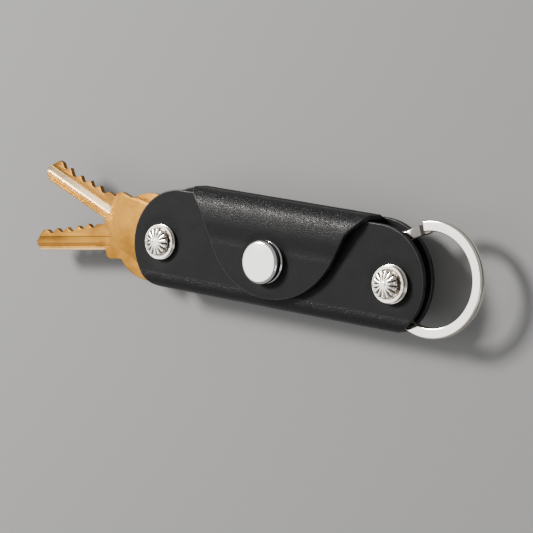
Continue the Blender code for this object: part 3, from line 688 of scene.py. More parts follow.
def outward_steps(loop, flat, joined):
    """How far each point of an open edge moves out, by CORNER square to the edge."""
    steps = []
    for k, point in enumerate(loop):
        before = np.array(flat[loop[k - 1]])
        here = np.array(flat[point])
        after = np.array(flat[loop[(k + 1) % len(loop)]])
        first = (here - before) / max(np.linalg.norm(here - before), 1e-12)
        second = (after - here) / max(np.linalg.norm(after - here), 1e-12)
        square = np.array((first[1], -first[0]))
        mean = square + np.array((second[1], -second[0]))
        size = np.linalg.norm(mean)
        mean = mean / size if size > 1e-9 else square
        reach = 1.0 / max(float(mean @ square), 0.6)
        steps.append((0.0, 0.0) if joined(*flat[point]) else tuple(mean * CORNER * reach))
    return steps


def fold_sheet(name, line, flat, quads, joined, dent):
    """Folds a flat sheet of quads along a bent line and gives it thickness and rounded edges.

    flat holds (x, s) points, already drawn in by CORNER at every cut. joined(x, s) is true where an
    edge meets another sheet and stays square. dent(x, y, z) is how deep the outer face is pressed.
    """
    points, places, bends = [], [], []

    def add(x, s, height):
        y, z, ny, nz, curved = line.at(s)
        outer = max(height, 0.0) / (LEATHER / 2)
        drop = dent(x, y, z) * outer
        ripple = noise.noise(Vector((x * RIPPLES, s * RIPPLES, 3.0))) * RIPPLE * outer
        rise = height - drop + ripple
        points.append((x, y + ny * rise, z + nz * rise))
        places.append((x, s, height))
        bends.append(min(1.0, curved * FULL_BEND))
        return len(points) - 1

    half = LEATHER / 2
    top = [add(x, s, half) for x, s in flat]
    bottom = [add(x, s, -half) for x, s in flat]
    faces = [tuple(top[i] for i in quad) for quad in quads]
    faces += [tuple(bottom[i] for i in reversed(quad)) for quad in quads]
    kinds = [GRAIN] * len(faces)
    for loop in boundary_loops(quads):
        outward = outward_steps(loop, flat, joined)
        rings, finishes = [[top[i] for i in loop]], []
        for share, height, kind in edge_levels():
            places_out = [
                (flat[i][0] + out[0] * share, flat[i][1] + out[1] * share)
                for i, out in zip(loop, outward)
            ]
            rings.append([add(x, s, height) for x, s in places_out])
            finishes.append(kind)
        rings.append([bottom[i] for i in loop])
        finishes.append(ARRIS)
        for upper, lower, kind in zip(rings, rings[1:], finishes):
            for k in range(len(loop)):
                after = (k + 1) % len(loop)
                faces.append((upper[k], lower[k], lower[after], upper[after]))
                kinds.append(kind)
    mesh = bpy.data.meshes.new(name)
    mesh.from_pydata(points, [], faces)
    for finish in LEATHER_FINISHES:
        mesh.materials.append(finish)
    mesh.polygons.foreach_set("material_index", kinds)
    placed = mesh.attributes.new("flat_place", "FLOAT_VECTOR", "POINT")
    placed.data.foreach_set("vector", np.array(places, np.float32).ravel())
    bent = mesh.attributes.new("bend", "FLOAT", "POINT")
    bent.data.foreach_set("value", np.array(bends, np.float32))
    face_outwards(mesh)
    mesh.shade_smooth()
    piece = bpy.data.objects.new(name, mesh)
    scene.collection.objects.link(piece)
    return piece


def whole_cells(flat, wide, holes, is_outside):
    """The quads of a grid of points, wide to a row, that are neither outside nor in a hole."""
    quads = []
    for a in range(len(flat) - wide):
        if a % wide == wide - 1:
            continue
        quad = (a, a + 1, a + wide + 1, a + wide)
        x = sum(flat[k][0] for k in quad) / 4
        s = sum(flat[k][1] for k in quad) / 4
        in_hole = any(math.hypot(x - hx, s - hs) < radius for hx, hs, radius in holes)
        if not in_hole and not is_outside(x, s):
            quads.append(quad)
    return quads


def round_holes(flat, quads, holes):
    """Draws the open edge round each hole on to its circle."""
    for loop in boundary_loops(quads):
        for k in loop:
            x, s = flat[k]
            for hx, hs, radius in holes:
                reach = math.hypot(x - hx, s - hs)
                if reach < radius + 1.5 * CELL:
                    grown = (radius + CORNER) / reach
                    flat[k] = (hx + (x - hx) * grown, hs + (s - hs) * grown)


def smooth(share):
    """A smooth step for a share from 0 to 1."""
    return share * share * (3 - 2 * share)


def evenly(low, high, cell=CELL):
    """Values from low to high, about a cell apart."""
    count = max(1, round(abs(high - low) / cell))
    return list(np.linspace(low, high, count + 1))


print("cell", CELL / MM, "mm, corner", CORNER / MM, "mm")

# %% [markdown]
# The front and back panels end in large arcs. The rows of the flat pattern follow those arcs, so
# the outline stays round without any trimming. Holes for the posts and the rivet are left where
# washers cover them: cells inside a hole go, and the cells round it are drawn on to its circle.

# %% The case's flat pattern
FRONT_CENTRE = FRONT_HALF - FRONT_RADIUS
FOLD_DEEP = FOLD_RADIUS * math.pi / 2 - FOLD_Y
FOLD_HALF = FRONT_CENTRE + math.sqrt(FRONT_RADIUS**2 - FOLD_DEEP**2)
BACK_CENTRE = FOLD_HALF - math.sqrt(BACK_RADIUS**2 - FOLD_DEEP**2)
NOTCH_HALF = 34.3 * MM
NOTCH_Y = 16.1 * MM
POST_HOLE = 2.6 * MM
RIVET_HOLE = 1.3 * MM
MIDDLE = LEATHER / 2
FRONT_MID = CASE_DEPTH - MIDDLE

case_points = [(y, FRONT_MID) for y in np.linspace(FRONT_RADIUS, FOLD_Y, 60)]
for turn in np.linspace(0.0, math.pi, 61)[1:-1]:
    y = FOLD_Y - FOLD_RADIUS * math.sin(turn)
    z = CASE_DEPTH / 2 + FOLD_RADIUS * math.cos(turn)
    case_points.append((y, z))
case_points += [(y, MIDDLE) for y in np.linspace(FOLD_Y, BACK_RADIUS, 60)]
case_line = BentLine(case_points)
FRONT_LENGTH = FRONT_RADIUS - FOLD_Y
FOLD_LENGTH = math.pi * FOLD_RADIUS
CASE_LENGTH = case_line.along[-1]
NOTCH_S = CASE_LENGTH - (BACK_RADIUS - NOTCH_Y)


def case_half(s):
    """Half the strap's width at s, drawn in by the rounding of its cut edge."""
    if s <= FRONT_LENGTH + FOLD_LENGTH / 2:
        depth = FRONT_RADIUS - s
        radius, centre = FRONT_RADIUS - CORNER, FRONT_CENTRE
    else:
        depth = s - (CASE_LENGTH - BACK_RADIUS)
        radius, centre = BACK_RADIUS - CORNER, BACK_CENTRE
    return centre + math.sqrt(max(radius**2 - depth**2, 0.0))


def case_rows():
    """The lengths s of the rows, closer together where the outline turns quickly."""
    rows = []
    front = FRONT_RADIUS - CORNER
    for angle in np.linspace(math.pi / 2, math.asin(FOLD_Y / front), 40):
        rows.append(FRONT_RADIUS - front * math.sin(angle))
    rows += evenly(FRONT_LENGTH, FRONT_LENGTH + FOLD_LENGTH, CELL / 2)[1:-1]
    back = BACK_RADIUS - CORNER
    middle = CASE_LENGTH - BACK_RADIUS
    notch_turn = math.asin((NOTCH_S - middle) / back)
    for angle in np.linspace(math.asin(FOLD_Y / back), notch_turn, 38):
        rows.append(middle + back * math.sin(angle))
    for angle in np.linspace(notch_turn, math.pi / 2, 12)[1:]:
        rows.append(middle + back * math.sin(angle))
    return rows


rows = case_rows()
COLUMNS = 126
notch_share = NOTCH_HALF / case_half(NOTCH_S)
inner_columns = 2 * round(COLUMNS * notch_share / 2)
shares = list(np.linspace(-1.0, -notch_share, (COLUMNS - inner_columns) // 2 + 1))
shares += list(np.linspace(-notch_share, notch_share, inner_columns + 1))[1:]
shares += list(np.linspace(notch_share, 1.0, (COLUMNS - inner_columns) // 2 + 1))[1:]
flat = []
for s in rows:
    half = case_half(s)
    for share in shares:
        if s > NOTCH_S and abs(share) > notch_share - 1e-9:
            rest = (abs(share) - notch_share) / (1 - notch_share)
            x = math.copysign(NOTCH_HALF + rest * (half - NOTCH_HALF), share)
        else:
            x = share * half
        flat.append((x, s))
wide = len(shares)
holes = [
    (LEFT_POST.x, FRONT_RADIUS, POST_HOLE),
    (RIGHT_POST.x, FRONT_RADIUS, POST_HOLE),
    (LEFT_POST.x, CASE_LENGTH - BACK_RADIUS, POST_HOLE),
    (RIGHT_POST.x, CASE_LENGTH - BACK_RADIUS, POST_HOLE),
    (SNAP_CENTRE.x, FRONT_RADIUS, RIVET_HOLE),
]


def in_notch(x, s):
    """True inside the notch, where the flap begins."""
    return s > NOTCH_S and abs(x) < NOTCH_HALF


quads = whole_cells(flat, wide, holes, in_notch)
round_holes(flat, quads, holes)
print(len(rows), "rows of", wide, "points;", len(quads), "cells")

# %% [markdown]
# The screws squeeze the leather a little, so each washer sits in a shallow dish. The dish is part
# of the shape and not of the bump, because light catches its rim.

# %% The case
DISH_DEPTH = 0.22 * MM
DISH_RADIUS = 6.6 * MM
DISH_FADE = 2.2 * MM


def case_dent(x, y, z):
    """How far the washers press the panels in."""
    deepest = 0.0
    for _, post in POSTS:
        reach = math.hypot(x - post.x, y - post.y)
        share = min(max((DISH_RADIUS + DISH_FADE - reach) / DISH_FADE, 0.0), 1.0)
        deepest = max(deepest, smooth(share))
    return DISH_DEPTH * deepest


def case_joined(x, s):
    """True along the notch's floor, where the flap's sheet carries on."""
    return abs(s - NOTCH_S) < 1e-5 and abs(x) < NOTCH_HALF + 1e-5


case_leather = fold_sheet("case_leather", case_line, flat, quads, case_joined, case_dent)
fit_to(case_leather, "case", "black_leather", "leather_body")

# %% [markdown]
# The flap leaves the back panel at the notch, stands up behind the front panel's top edge and
# rolls over it. The first bend is tight. The second starts tight and opens out, so the flap
# arrives on the front almost flat, slightly proud, and dips to where the snap holds it. Its sides
# lean in to a round tip.

# %% The flap's bent line
flap_low, flap_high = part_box("leather_flap")
FLAP_HALF = flap_high.x
FLAP_TOP = flap_high.y
FLAP_TIP = flap_low.y
WALL_Y = FLAP_TOP - MIDDLE
ROOT_BEND = 3.0 * MM - MIDDLE
ROLL_WIDE = 7.0 * MM
ROLL_HIGH = 3.5 * MM
ROLL_CENTRE = (WALL_Y - ROLL_WIDE, 8.3 * MM)
FLAP_REST = flap_high.z - MIDDLE
DIP_END = 3.0 * MM  # the flap is down at this height of the front, just above the snap
TIP_BEND = -4.0 * MM  # below this height the tip curls down
TIP_DROP = 0.25 * MM
root_centre = (WALL_Y - ROOT_BEND, MIDDLE + ROOT_BEND)
flap_points = [(y, MIDDLE) for y in np.linspace(NOTCH_Y, root_centre[0], 6)]
for turn in np.linspace(0.0, math.pi / 2, 24)[1:]:
    y = root_centre[0] + ROOT_BEND * math.sin(turn)
    flap_points.append((y, root_centre[1] - ROOT_BEND * math.cos(turn)))
for z in np.linspace(root_centre[1], ROLL_CENTRE[1], 20)[1:]:
    flap_points.append((WALL_Y, z))
for turn in np.linspace(0.0, math.pi / 2, 40)[1:]:
    y = ROLL_CENTRE[0] + ROLL_WIDE * math.cos(turn)
    flap_points.append((y, ROLL_CENTRE[1] + ROLL_HIGH * math.sin(turn)))
roll_end = len(flap_points) - 1
roll_top = flap_points[roll_end]
for y in np.linspace(roll_top[0], FLAP_TIP, 70)[1:]:
    share = min((roll_top[0] - y) / (roll_top[0] - DIP_END), 1.0)
    z = roll_top[1] + (FLAP_REST - roll_top[1]) * smooth(share)
    if y < TIP_BEND:
        z -= TIP_DROP * ((TIP_BEND - y) / (TIP_BEND - FLAP_TIP)) ** 2
    flap_points.append((y, z))
flap_line = BentLine(flap_points)
print("flap line", round(flap_line.along[-1] / MM, 1), "mm long")

# %% The flap's flat pattern
TIP_RADIUS = 26.0 * MM
TIP_CENTRE = FLAP_TIP + TIP_RADIUS
SIDE_LEAN = math.radians(26.0)
SIDE_X = TIP_RADIUS * math.cos(SIDE_LEAN)
SIDE_Y = TIP_CENTRE - TIP_RADIUS * math.sin(SIDE_LEAN)
line_y = flap_line.points[:, 0]
WALL_TOP_S = flap_line.along[int(np.argmax(flap_line.points[:, 1] >= ROLL_CENTRE[1] - 1e-9))]
ROLL_END_S = flap_line.along[roll_end]
roll_end_half = SIDE_X + (line_y[roll_end] - SIDE_Y) * math.tan(SIDE_LEAN)


def flap_y(s):
    """How high the flap lies at s."""
    return float(np.interp(s, flap_line.along, line_y))


def flap_half(s):
    """Half the flap's width at s."""
    if s <= WALL_TOP_S:
        return FLAP_HALF
    if s < ROLL_END_S:
        share = (s - WALL_TOP_S) / (ROLL_END_S - WALL_TOP_S)
        lean = math.tan(SIDE_LEAN) * (ROLL_END_S - WALL_TOP_S)
        start, stop = FLAP_HALF, roll_end_half
        ease_in = 2 * share**3 - 3 * share**2 + 1
        ease_out = 3 * share**2 - 2 * share**3
        return ease_in * start + ease_out * stop - (share**3 - share**2) * lean
    y = flap_y(s)
    if y >= SIDE_Y:
        return SIDE_X + (y - SIDE_Y) * math.tan(SIDE_LEAN)
    return math.sqrt(max(TIP_RADIUS**2 - (TIP_CENTRE - y) ** 2, 0.0))


tip_start = float(np.interp(-SIDE_Y, -line_y[roll_end:], flap_line.along[roll_end:]))
flap_rows = evenly(0.0, WALL_TOP_S, CELL / 2)
flap_rows += evenly(WALL_TOP_S, ROLL_END_S, CELL / 2)[1:]
flap_rows += evenly(ROLL_END_S, tip_start)[1:]
side_turn = math.acos((TIP_CENTRE - SIDE_Y) / TIP_RADIUS)
for turn in np.linspace(side_turn, math.radians(3.0), 34)[1:]:
    depth = (TIP_RADIUS - CORNER) * math.cos(turn)
    y = TIP_CENTRE - depth
    flap_rows.append(float(np.interp(-y, -line_y[roll_end:], flap_line.along[roll_end:])))
FLAP_COLUMNS = 76
flap_flat = []
for s in flap_rows:
    if s > tip_start + 1e-6:
        y = flap_y(s)
        half = math.sqrt(max((TIP_RADIUS - CORNER) ** 2 - (TIP_CENTRE - y) ** 2, 0.0))
    else:
        half = flap_half(s) - CORNER
    for share in np.linspace(-1.0, 1.0, FLAP_COLUMNS + 1):
        flap_flat.append((share * half, s))
SNAP_HOLE = 4.4 * MM
snap_s = float(np.interp(0.0, -line_y[roll_end:], flap_line.along[roll_end:]))
flap_holes = [(SNAP_CENTRE.x, snap_s, SNAP_HOLE)]
flap_quads = whole_cells(flap_flat, FLAP_COLUMNS + 1, flap_holes, lambda x, s: False)
round_holes(flap_flat, flap_quads, flap_holes)
print(len(flap_rows), "rows;", len(flap_quads), "cells")

# %% [markdown]
# The snap pulls the leather down round its cap. The flap's sheet is then baked in place, on no body,
# and the imported flap is hidden.

# %% The flap
CAP_DISH = 0.28 * MM
CAP_DISH_RADIUS = 7.0 * MM
CAP_DISH_FADE = 3.0 * MM


def flap_dent(x, y, z):
    """How far the snap's cap presses the flap in."""
    if z < CASE_DEPTH:
        return 0.0
    reach = math.hypot(x - SNAP_CENTRE.x, y)
    share = min(max((CAP_DISH_RADIUS + CAP_DISH_FADE - reach) / CAP_DISH_FADE, 0.0), 1.0)
    return CAP_DISH * smooth(share)


def flap_joined(x, s):
    """True along the flap's root, where the case's sheet carries on."""
    return s < 1e-6


flap_leather = fold_sheet(
    "flap_leather", flap_line, flap_flat, flap_quads, flap_joined, flap_dent
)
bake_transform(flap_leather)
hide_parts("leather_flap")


# %% [markdown]
# ## Turned hardware
# Washers, cups, barrels and the snap's shells are all turned: a profile of (radius, height) points
# swept about an axis. Corners that a lathe would break are given a small chamfer or arc, because
# no real edge is sharp and the highlights on metal live there.

# %% Lathe helpers
AROUND = 96


def rounded(profile, size, steps=3):
    """The profile with every corner off the axis rounded over by size."""
    closed = profile[0][0] > 0.0
    made = []
    count = len(profile)
    for i, here in enumerate(profile):
        here = Vector(here)
        if not closed and i in (0, count - 1):
            made.append(tuple(here))
            continue
        before = Vector(profile[i - 1])
        after = Vector(profile[(i + 1) % count])
        inward, onward = before - here, after - here
        reach = min(size, inward.length * 0.45, onward.length * 0.45)
        start = here + inward.normalized() * reach
        stop = here + onward.normalized() * reach
        for step in range(steps + 1):
            share = step / steps
            first = start.lerp(here, share)
            second = here.lerp(stop, share)
            made.append(tuple(first.lerp(second, share)))
    return made


def turned_points(profile, centre, around):
    """Points and faces of a turned profile. A profile that starts on the axis is closed there."""
    points, faces, rings = [], [], []
    for radius, height in profile:
        if radius < 1e-9:
            rings.append([len(points)] * around)
            points.append((centre.x, centre.y, height))
            continue
        ring = []
        for turn in range(around):
            angle = 2 * math.pi * turn / around
            x = centre.x + radius * math.cos(angle)
            y = centre.y + radius * math.sin(angle)
            ring.append(len(points))
            points.append((x, y, height))
        rings.append(ring)
    last = len(rings) if profile[0][0] > 1e-9 else len(rings) - 1
    for i in range(last):
        low, high = rings[i], rings[(i + 1) % len(rings)]
        for turn in range(around):
            after = (turn + 1) % around
            corners = [low[turn], low[after], high[after], high[turn]]
            face = tuple(c for k, c in enumerate(corners) if c not in corners[:k])
            if len(face) > 2:
                faces.append(face)
    return points, faces


def turned_piece(name, profile, centre, finish, around=AROUND):
    """A turned mesh piece."""
    points, faces = turned_points(profile, centre, around)
    piece = mesh_piece(name, points, faces, [finish])
    face_outwards(piece.data)
    return piece


def radii_of(node):
    """Outer radius, lowest and highest height of a turned node."""
    low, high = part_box(node)
    return (high.y - low.y) / 2, low.z, high.z


print("lathe ready,", AROUND, "steps round")

# %% [markdown]
# Each post carries the same stack: a slotted barrel through the case, a washer behind, a thin base
# washer in front, and a cup that the screw's head sits in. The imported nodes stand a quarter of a
# millimetre apart so that they can be told apart as solids. Here the cups are drawn down on to
# their washers, as the screw does.

# %% Washers, cups and barrels
EDGE = 0.12 * MM
BORE = 2.6 * MM
CUP_BORE = 4.6 * MM


def washer_profile(radius, low, high):
    """A flat ring round the posts' bore."""
    return [(BORE, low), (radius, low), (radius, high), (BORE, high)]


SIDE_TRIM = {"left": 0.35 * MM, "right": 0.0}  # the left pair is pressed flatter, and narrower
for side, post in POSTS:
    radius, low, high = radii_of(f"{side}_rear_washer")
    profile = washer_profile(radius, low, high)
    piece = turned_piece(f"{side}_rear_ring", rounded(profile, EDGE), post, bright_nickel)
    fit_to(piece, "case", "bright_nickel", f"{side}_rear_washer")

    radius, low, high = radii_of(f"{side}_base_washer")
    seat = CASE_DEPTH - DISH_DEPTH * 0.9
    radius -= SIDE_TRIM[side]
    profile = washer_profile(radius, seat, high)
    piece = turned_piece(f"{side}_base_ring", rounded(profile, 0.35 * MM, 5), post, bright_nickel)
    fit_to(piece, "case", "bright_nickel", f"{side}_base_washer")

    cup_radius, cup_low, cup_high = radii_of(f"{side}_cup_washer")
    floor_top = cup_low + 0.4 * MM
    cup_radius -= SIDE_TRIM[side] * 0.8
    profile = [
        (BORE, high + 0.02 * MM),
        (cup_radius - 0.35 * MM, high + 0.02 * MM),
        (cup_radius, cup_low + 0.45 * MM),
        (cup_radius, cup_high - 0.05 * MM),
        (CUP_BORE, cup_high),
        (CUP_BORE, floor_top),
        (BORE, floor_top),
    ]
    piece = turned_piece(f"{side}_cup", rounded(profile, 0.32 * MM, 6), post, bright_nickel)
    fit_to(piece, "case", "bright_nickel", f"{side}_cup_washer")

# %% Slotted barrels
SLOT_HALF = 0.6 * MM
SLOT_DEEP = 0.6 * MM
BARREL_RADIUS = 2.3 * MM
SCREW_BORE = 1.75 * MM
for side, post in POSTS:
    radius, low, high = radii_of(f"{side}_post_barrel")
    head_top = low + 1.2 * MM
    profile = [
        (0.0, low),
        (radius * 0.7, low + 0.02 * MM),
        (radius, low + 0.12 * MM),
        (radius, head_top),
        (BARREL_RADIUS, head_top),
        (BARREL_RADIUS, high),
        (SCREW_BORE, high),
        (SCREW_BORE, LEATHER),
        (0.0, LEATHER),
    ]
    piece = turned_piece(f"{side}_barrel", rounded(profile, 0.15 * MM), post, bright_nickel)
    slot_box = [
        (post.x + x, y, z)
        for x in (-radius * 1.2, radius * 1.2)
        for y in (-SLOT_HALF, SLOT_HALF)
        for z in (low - 1.0 * MM, low + SLOT_DEEP)
    ]
    cutter = mesh_piece(f"{side}_slot", slot_box, BOX_SIDES, [])
    face_outwards(cutter.data)
    piece = cut_with(piece, [cutter], piece.name)
    piece.data.shade_smooth()
    piece.data.set_sharp_from_angle(angle=math.radians(35.0))
    fit_to(piece, "case", "bright_nickel", f"{side}_post_barrel")

# %% Spacers inside the pocket
for node, post in (
    ("key_washer", LEFT_POST),
    ("front_ring_spacer", RIGHT_POST),
    ("rear_ring_spacer", RIGHT_POST),
):
    radius, low, high = radii_of(node)
    profile = washer_profile(radius, low, high)
    piece = turned_piece(f"{node}_turned", rounded(profile, EDGE), post, bright_nickel, 64)
    fit_to(piece, "case", "bright_nickel", node)

# %% [markdown]
# ## Fluted screws
# The screw heads look like flowers: fourteen petals round a small flat boss, with a sharp valley
# between each pair. That is a rule, so the blank head is turned first and a Geometry Nodes tree
# sinks the valleys. The depth comes from |sin(n * angle / 2)|, which is round on a petal and
# sharp in a valley, and it fades out towards the boss. Most of it is kept to a share of the wave
# next to the valley, which leaves the petals broad. The tree also writes a painted shade into each
# valley, which darkens the nickel there where shadow would fall.

# %% The flute tree
FLUTES = 14
RIM_FADE = 0.4 * MM  # the flutes fade out over this height below the rim
tree, group_in, group_out = new_tree(
    "flutes",
    [
        ("Axis X", "float"),
        ("Axis Y", "float"),
        ("Boss Radius", "float"),
        ("Head Radius", "float"),
        ("Rim Height", "float"),
        ("Valley Depth", "float"),
        ("Groove Share", "float"),
        ("Flutes", "int"),
        ("Finish", "material"),
    ],
)
given = group_in.outputs
point_x, point_y, point_z = position_of(tree)
from_x = maths(tree, "SUBTRACT", point_x, given["Axis X"])
from_y = maths(tree, "SUBTRACT", point_y, given["Axis Y"])
squares = maths(tree, "ADD", maths(tree, "POWER", from_x, 2.0), maths(tree, "POWER", from_y, 2.0))
reach = maths(tree, "SQRT", maths(tree, "ADD", squares, 1e-14))
angle = maths(tree, "ARCTAN2", from_y, from_x)
half_flutes = maths(tree, "DIVIDE", given["Flutes"], 2.0)
wave = maths(tree, "SINE", maths(tree, "MULTIPLY", angle, half_flutes))
petal = maths(tree, "ABSOLUTE", wave)
groove = ease(tree, petal, 0.0, given["Groove Share"], 0.8, 0.0)
crown = maths(tree, "MULTIPLY", maths(tree, "SUBTRACT", 1.0, petal), 0.2)
valley = maths(tree, "ADD", groove, crown)
grown = maths(tree, "MULTIPLY", given["Head Radius"], 0.7)
share = ease(tree, reach, given["Boss Radius"], grown, 0.0, 1.0)
lowest = maths(tree, "SUBTRACT", given["Rim Height"], RIM_FADE)
above = ease(tree, point_z, lowest, given["Rim Height"], 0.0, 1.0)
sunk = maths(tree, "MULTIPLY", maths(tree, "MULTIPLY", valley, share), above)
depth = maths(tree, "MULTIPLY", sunk, given["Valley Depth"])
inwards = maths(tree, "DIVIDE", maths(tree, "MULTIPLY", depth, -0.6), reach)
move = tree.nodes.new("GeometryNodeSetPosition")
shift = vector_of(
    tree,
    maths(tree, "MULTIPLY", from_x, inwards),
    maths(tree, "MULTIPLY", from_y, inwards),
    maths(tree, "MULTIPLY", depth, -1.0),
)
tree.links.new(shift, move.inputs["Offset"])
# painted shade, deepest in each valley, where the real grooves fall into shadow
painted_shade = maths(tree, "MULTIPLY", groove, maths(tree, "MULTIPLY", share, above))
tree.links.new(mark_painted_shade(tree, given["Geometry"], painted_shade), move.inputs["Geometry"])
finish_tree(tree, move.outputs["Geometry"], given["Finish"], group_out)
flute_tree = tree
print("flute tree:", len(tree.nodes), "nodes")

# %% The two screws
BOSS = 1.1 * MM
AROUND_HEAD = FLUTES * 20
ROUND_RIM = 0.75 * MM
CONE_RISE = 0.40 * MM
HEAD_GROWN = 0.1 * MM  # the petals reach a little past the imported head's flat facets
HEAD_DOME = 0.95 * MM
SHANK_RADIUS = 1.4 * MM
for side, post in POSTS:
    _, shank_low, head_high = radii_of(f"{side}_star_screw")
    star_low, star_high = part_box(f"{side}_star_screw")
    head_radius = (star_high.y - star_low.y) / 2 + HEAD_GROWN
    rim = head_high - HEAD_DOME
    head_low = rim - 0.75 * MM
    profile = [
        (0.0, shank_low),
        (1.2 * MM, shank_low),
        (SHANK_RADIUS, shank_low + 0.2 * MM),
        (SHANK_RADIUS, head_low),
        (head_radius - 0.5 * MM, head_low),
        (head_radius - 0.12 * MM, head_low + 0.3 * MM),
        (head_radius, rim - 0.1 * MM),
    ]
    for step in range(1, 9):
        turn = math.pi / 2 * step / 8
        radius = head_radius - ROUND_RIM + ROUND_RIM * math.cos(turn)
        profile.append((radius, rim + (HEAD_DOME - CONE_RISE) * math.sin(turn)))
    for step in range(1, 17):
        share = step / 17
        radius = head_radius - ROUND_RIM + (BOSS - head_radius + ROUND_RIM) * share
        rise = CONE_RISE * (1 - (1 - share) ** 1.6)
        profile.append((radius, rim + HEAD_DOME - CONE_RISE + rise))
    for step in range(7):
        share = step / 6
        bead = 0.16 * MM * math.sin(math.pi / 2 * share)
        profile.append((BOSS * (1 - share) * 0.98, head_high - 0.04 * MM + bead))
    piece = turned_piece(f"{side}_screw", profile, post, bright_nickel, AROUND_HEAD)
    piece = run_tree(
        piece,
        flute_tree,
        {
            "Axis X": post.x,
            "Axis Y": post.y,
            "Boss Radius": BOSS,
            "Head Radius": head_radius,
            "Rim Height": rim,
            "Valley Depth": 0.85 * MM,
            "Groove Share": 0.62,
            "Flutes": FLUTES,
            "Finish": bright_nickel,
        },
    )
    fit_to(piece, "case", "bright_nickel", f"{side}_star_screw")

# %% [markdown]
# ## The snap
# The cap is a thin drum with a rounded shoulder and an almost flat, slightly domed top, polished
# like a mirror. Behind the flap sits the socket that grips the stud, and the stud is riveted to
# the front panel by an eyelet whose flange shows inside the pocket.

# %% Snap cap, socket, stud and eyelet
cap_radius, _, cap_top = radii_of("snap_cap")
SHOULDER = 1.0 * MM
DOME = 0.55 * MM
WALL = 0.5 * MM
cap_seat = flap_high.z - CAP_DISH * 0.8
ceiling = cap_top - DOME - WALL
cap_profile = [(0.0, ceiling), (cap_radius - WALL, ceiling), (cap_radius - WALL, cap_seat)]
bead = 0.28 * MM
for step in range(7):
    turn = math.pi * (step / 6 - 0.5)
    radius = cap_radius - bead + bead * math.cos(turn)
    cap_profile.append((radius, cap_seat + bead + bead * math.sin(turn)))
cap_profile.append((cap_radius - bead * 0.9, cap_seat + 2.2 * bead))
cap_profile.append((cap_radius - 0.02 * MM, cap_seat + 1.5 * MM))
shoulder_low = cap_top - DOME - SHOULDER
for step in range(13):
    turn = math.pi / 2 * step / 12 * 0.93
    radius = cap_radius - SHOULDER + SHOULDER * math.cos(turn)
    cap_profile.append((radius, shoulder_low + SHOULDER * math.sin(turn)))
rim_radius, rim_height = cap_profile[-1]
for step in range(1, 15):
    share = step / 14
    height = cap_top - (cap_top - rim_height) * (1 - share) ** 2
    cap_profile.append((rim_radius * (1 - share), height))
cap = turned_piece("snap_cap_shell", cap_profile, SNAP_CENTRE, cap_nickel, 128)
fit_to(cap, "flap", "bright_nickel", "snap_cap")


def socket_profile(radius, low, high):
    """The socket that grips the stud, with a turned-in lip."""
    return [
        (3.0 * MM, low + 0.2 * MM),
        (3.2 * MM, low),
        (3.9 * MM, low),
        (radius, low + 0.25 * MM),
        (radius, high),
        (2.6 * MM, high),
        (2.6 * MM, high - 0.4 * MM),
        (3.0 * MM, high - 0.6 * MM),
    ]


def stud_profile(radius, low, high):
    """A flanged stud with a waist below its head."""
    return [
        (1.3 * MM, low),
        (radius, low),
        (radius, low + 0.3 * MM),
        (2.2 * MM, low + 0.34 * MM),
        (1.65 * MM, low + 0.6 * MM),
        (1.9 * MM, low + 1.0 * MM),
        (1.75 * MM, high - 0.1 * MM),
        (1.3 * MM, high),
    ]


def eyelet_profile(radius, low, high):
    """A rivet with its flange inside the pocket and a cupped end."""
    return [
        (0.0, low + 0.1 * MM),
        (radius * 0.6, low + 0.05 * MM),
        (radius - 0.3 * MM, low),
        (radius, low + 0.2 * MM),
        (radius, low + 0.5 * MM),
        (1.0 * MM, low + 0.5 * MM),
        (1.0 * MM, high),
        (0.6 * MM, high),
        (0.5 * MM, high - 0.5 * MM),
        (0.0, high - 0.6 * MM),
    ]


for node, body, profile_of, edge in (
    ("snap_socket", "flap", socket_profile, 0.15 * MM),
    ("snap_stud", "case", stud_profile, 0.12 * MM),
    ("snap_eyelet", "case", eyelet_profile, 0.1 * MM),
):
    profile = rounded(profile_of(*radii_of(node)), edge)
    piece = turned_piece(f"{node}_shell", profile, SNAP_CENTRE, plated_brass)
    fit_to(piece, body, "plated_brass", node)

# %% [markdown]
# ## Split ring
# A split ring is one flat wire wound twice round. It lies in two flat coils, and steps from one
# to the other in a short joggle, with a cut end on either side of it. A Geometry Nodes tree draws
# that path from its angle and sweeps a rounded flat section along it.

# %% The ring tree
WIRE_CORNER = 0.42 * MM
SPLIT_SHADE = (0.12 * MM, 0.42 * MM)  # distances from the split over which the painted shade between the coils fades out
NARROW_BEFORE, NARROW_AFTER = 0.10, 0.16  # radians over which the wire narrows round its step
tree, group_in, group_out = new_tree(
    "split_ring_path",
    [
        ("Centre X", "float"),
        ("Centre Y", "float"),
        ("Coil Radius", "float"),
        ("Front Height", "float"),
        ("Rear Height", "float"),
        ("Start Angle", "float"),
        ("Step Angle", "float"),
        ("Total Angle", "float"),
        ("Points", "int"),
        ("Wire Width", "float"),
        ("Wire Thickness", "float"),
        ("Step Narrowing", "float"),
        ("Finish", "material"),
    ],
)
given = group_in.outputs
run = tree.nodes.new("GeometryNodeMeshLine")
tree.links.new(given["Points"], run.inputs["Count"])
number = tree.nodes.new("GeometryNodeInputIndex")
gone = maths(tree, "DIVIDE", number.outputs[0], maths(tree, "SUBTRACT", given["Points"], 1.0))
turned = maths(tree, "MULTIPLY", gone, given["Total Angle"])
angle = maths(tree, "SUBTRACT", given["Start Angle"], turned)
step_from = maths(tree, "SUBTRACT", 2 * math.pi, given["Step Angle"])
height = ease(tree, turned, step_from, 2 * math.pi, given["Front Height"], given["Rear Height"])
narrow_from = maths(tree, "SUBTRACT", step_from, NARROW_BEFORE)
narrow_in = ease(tree, turned, narrow_from, step_from, 0.0, 1.0)
narrow_out = ease(tree, turned, 2 * math.pi, 2 * math.pi + NARROW_AFTER, 1.0, 0.0)
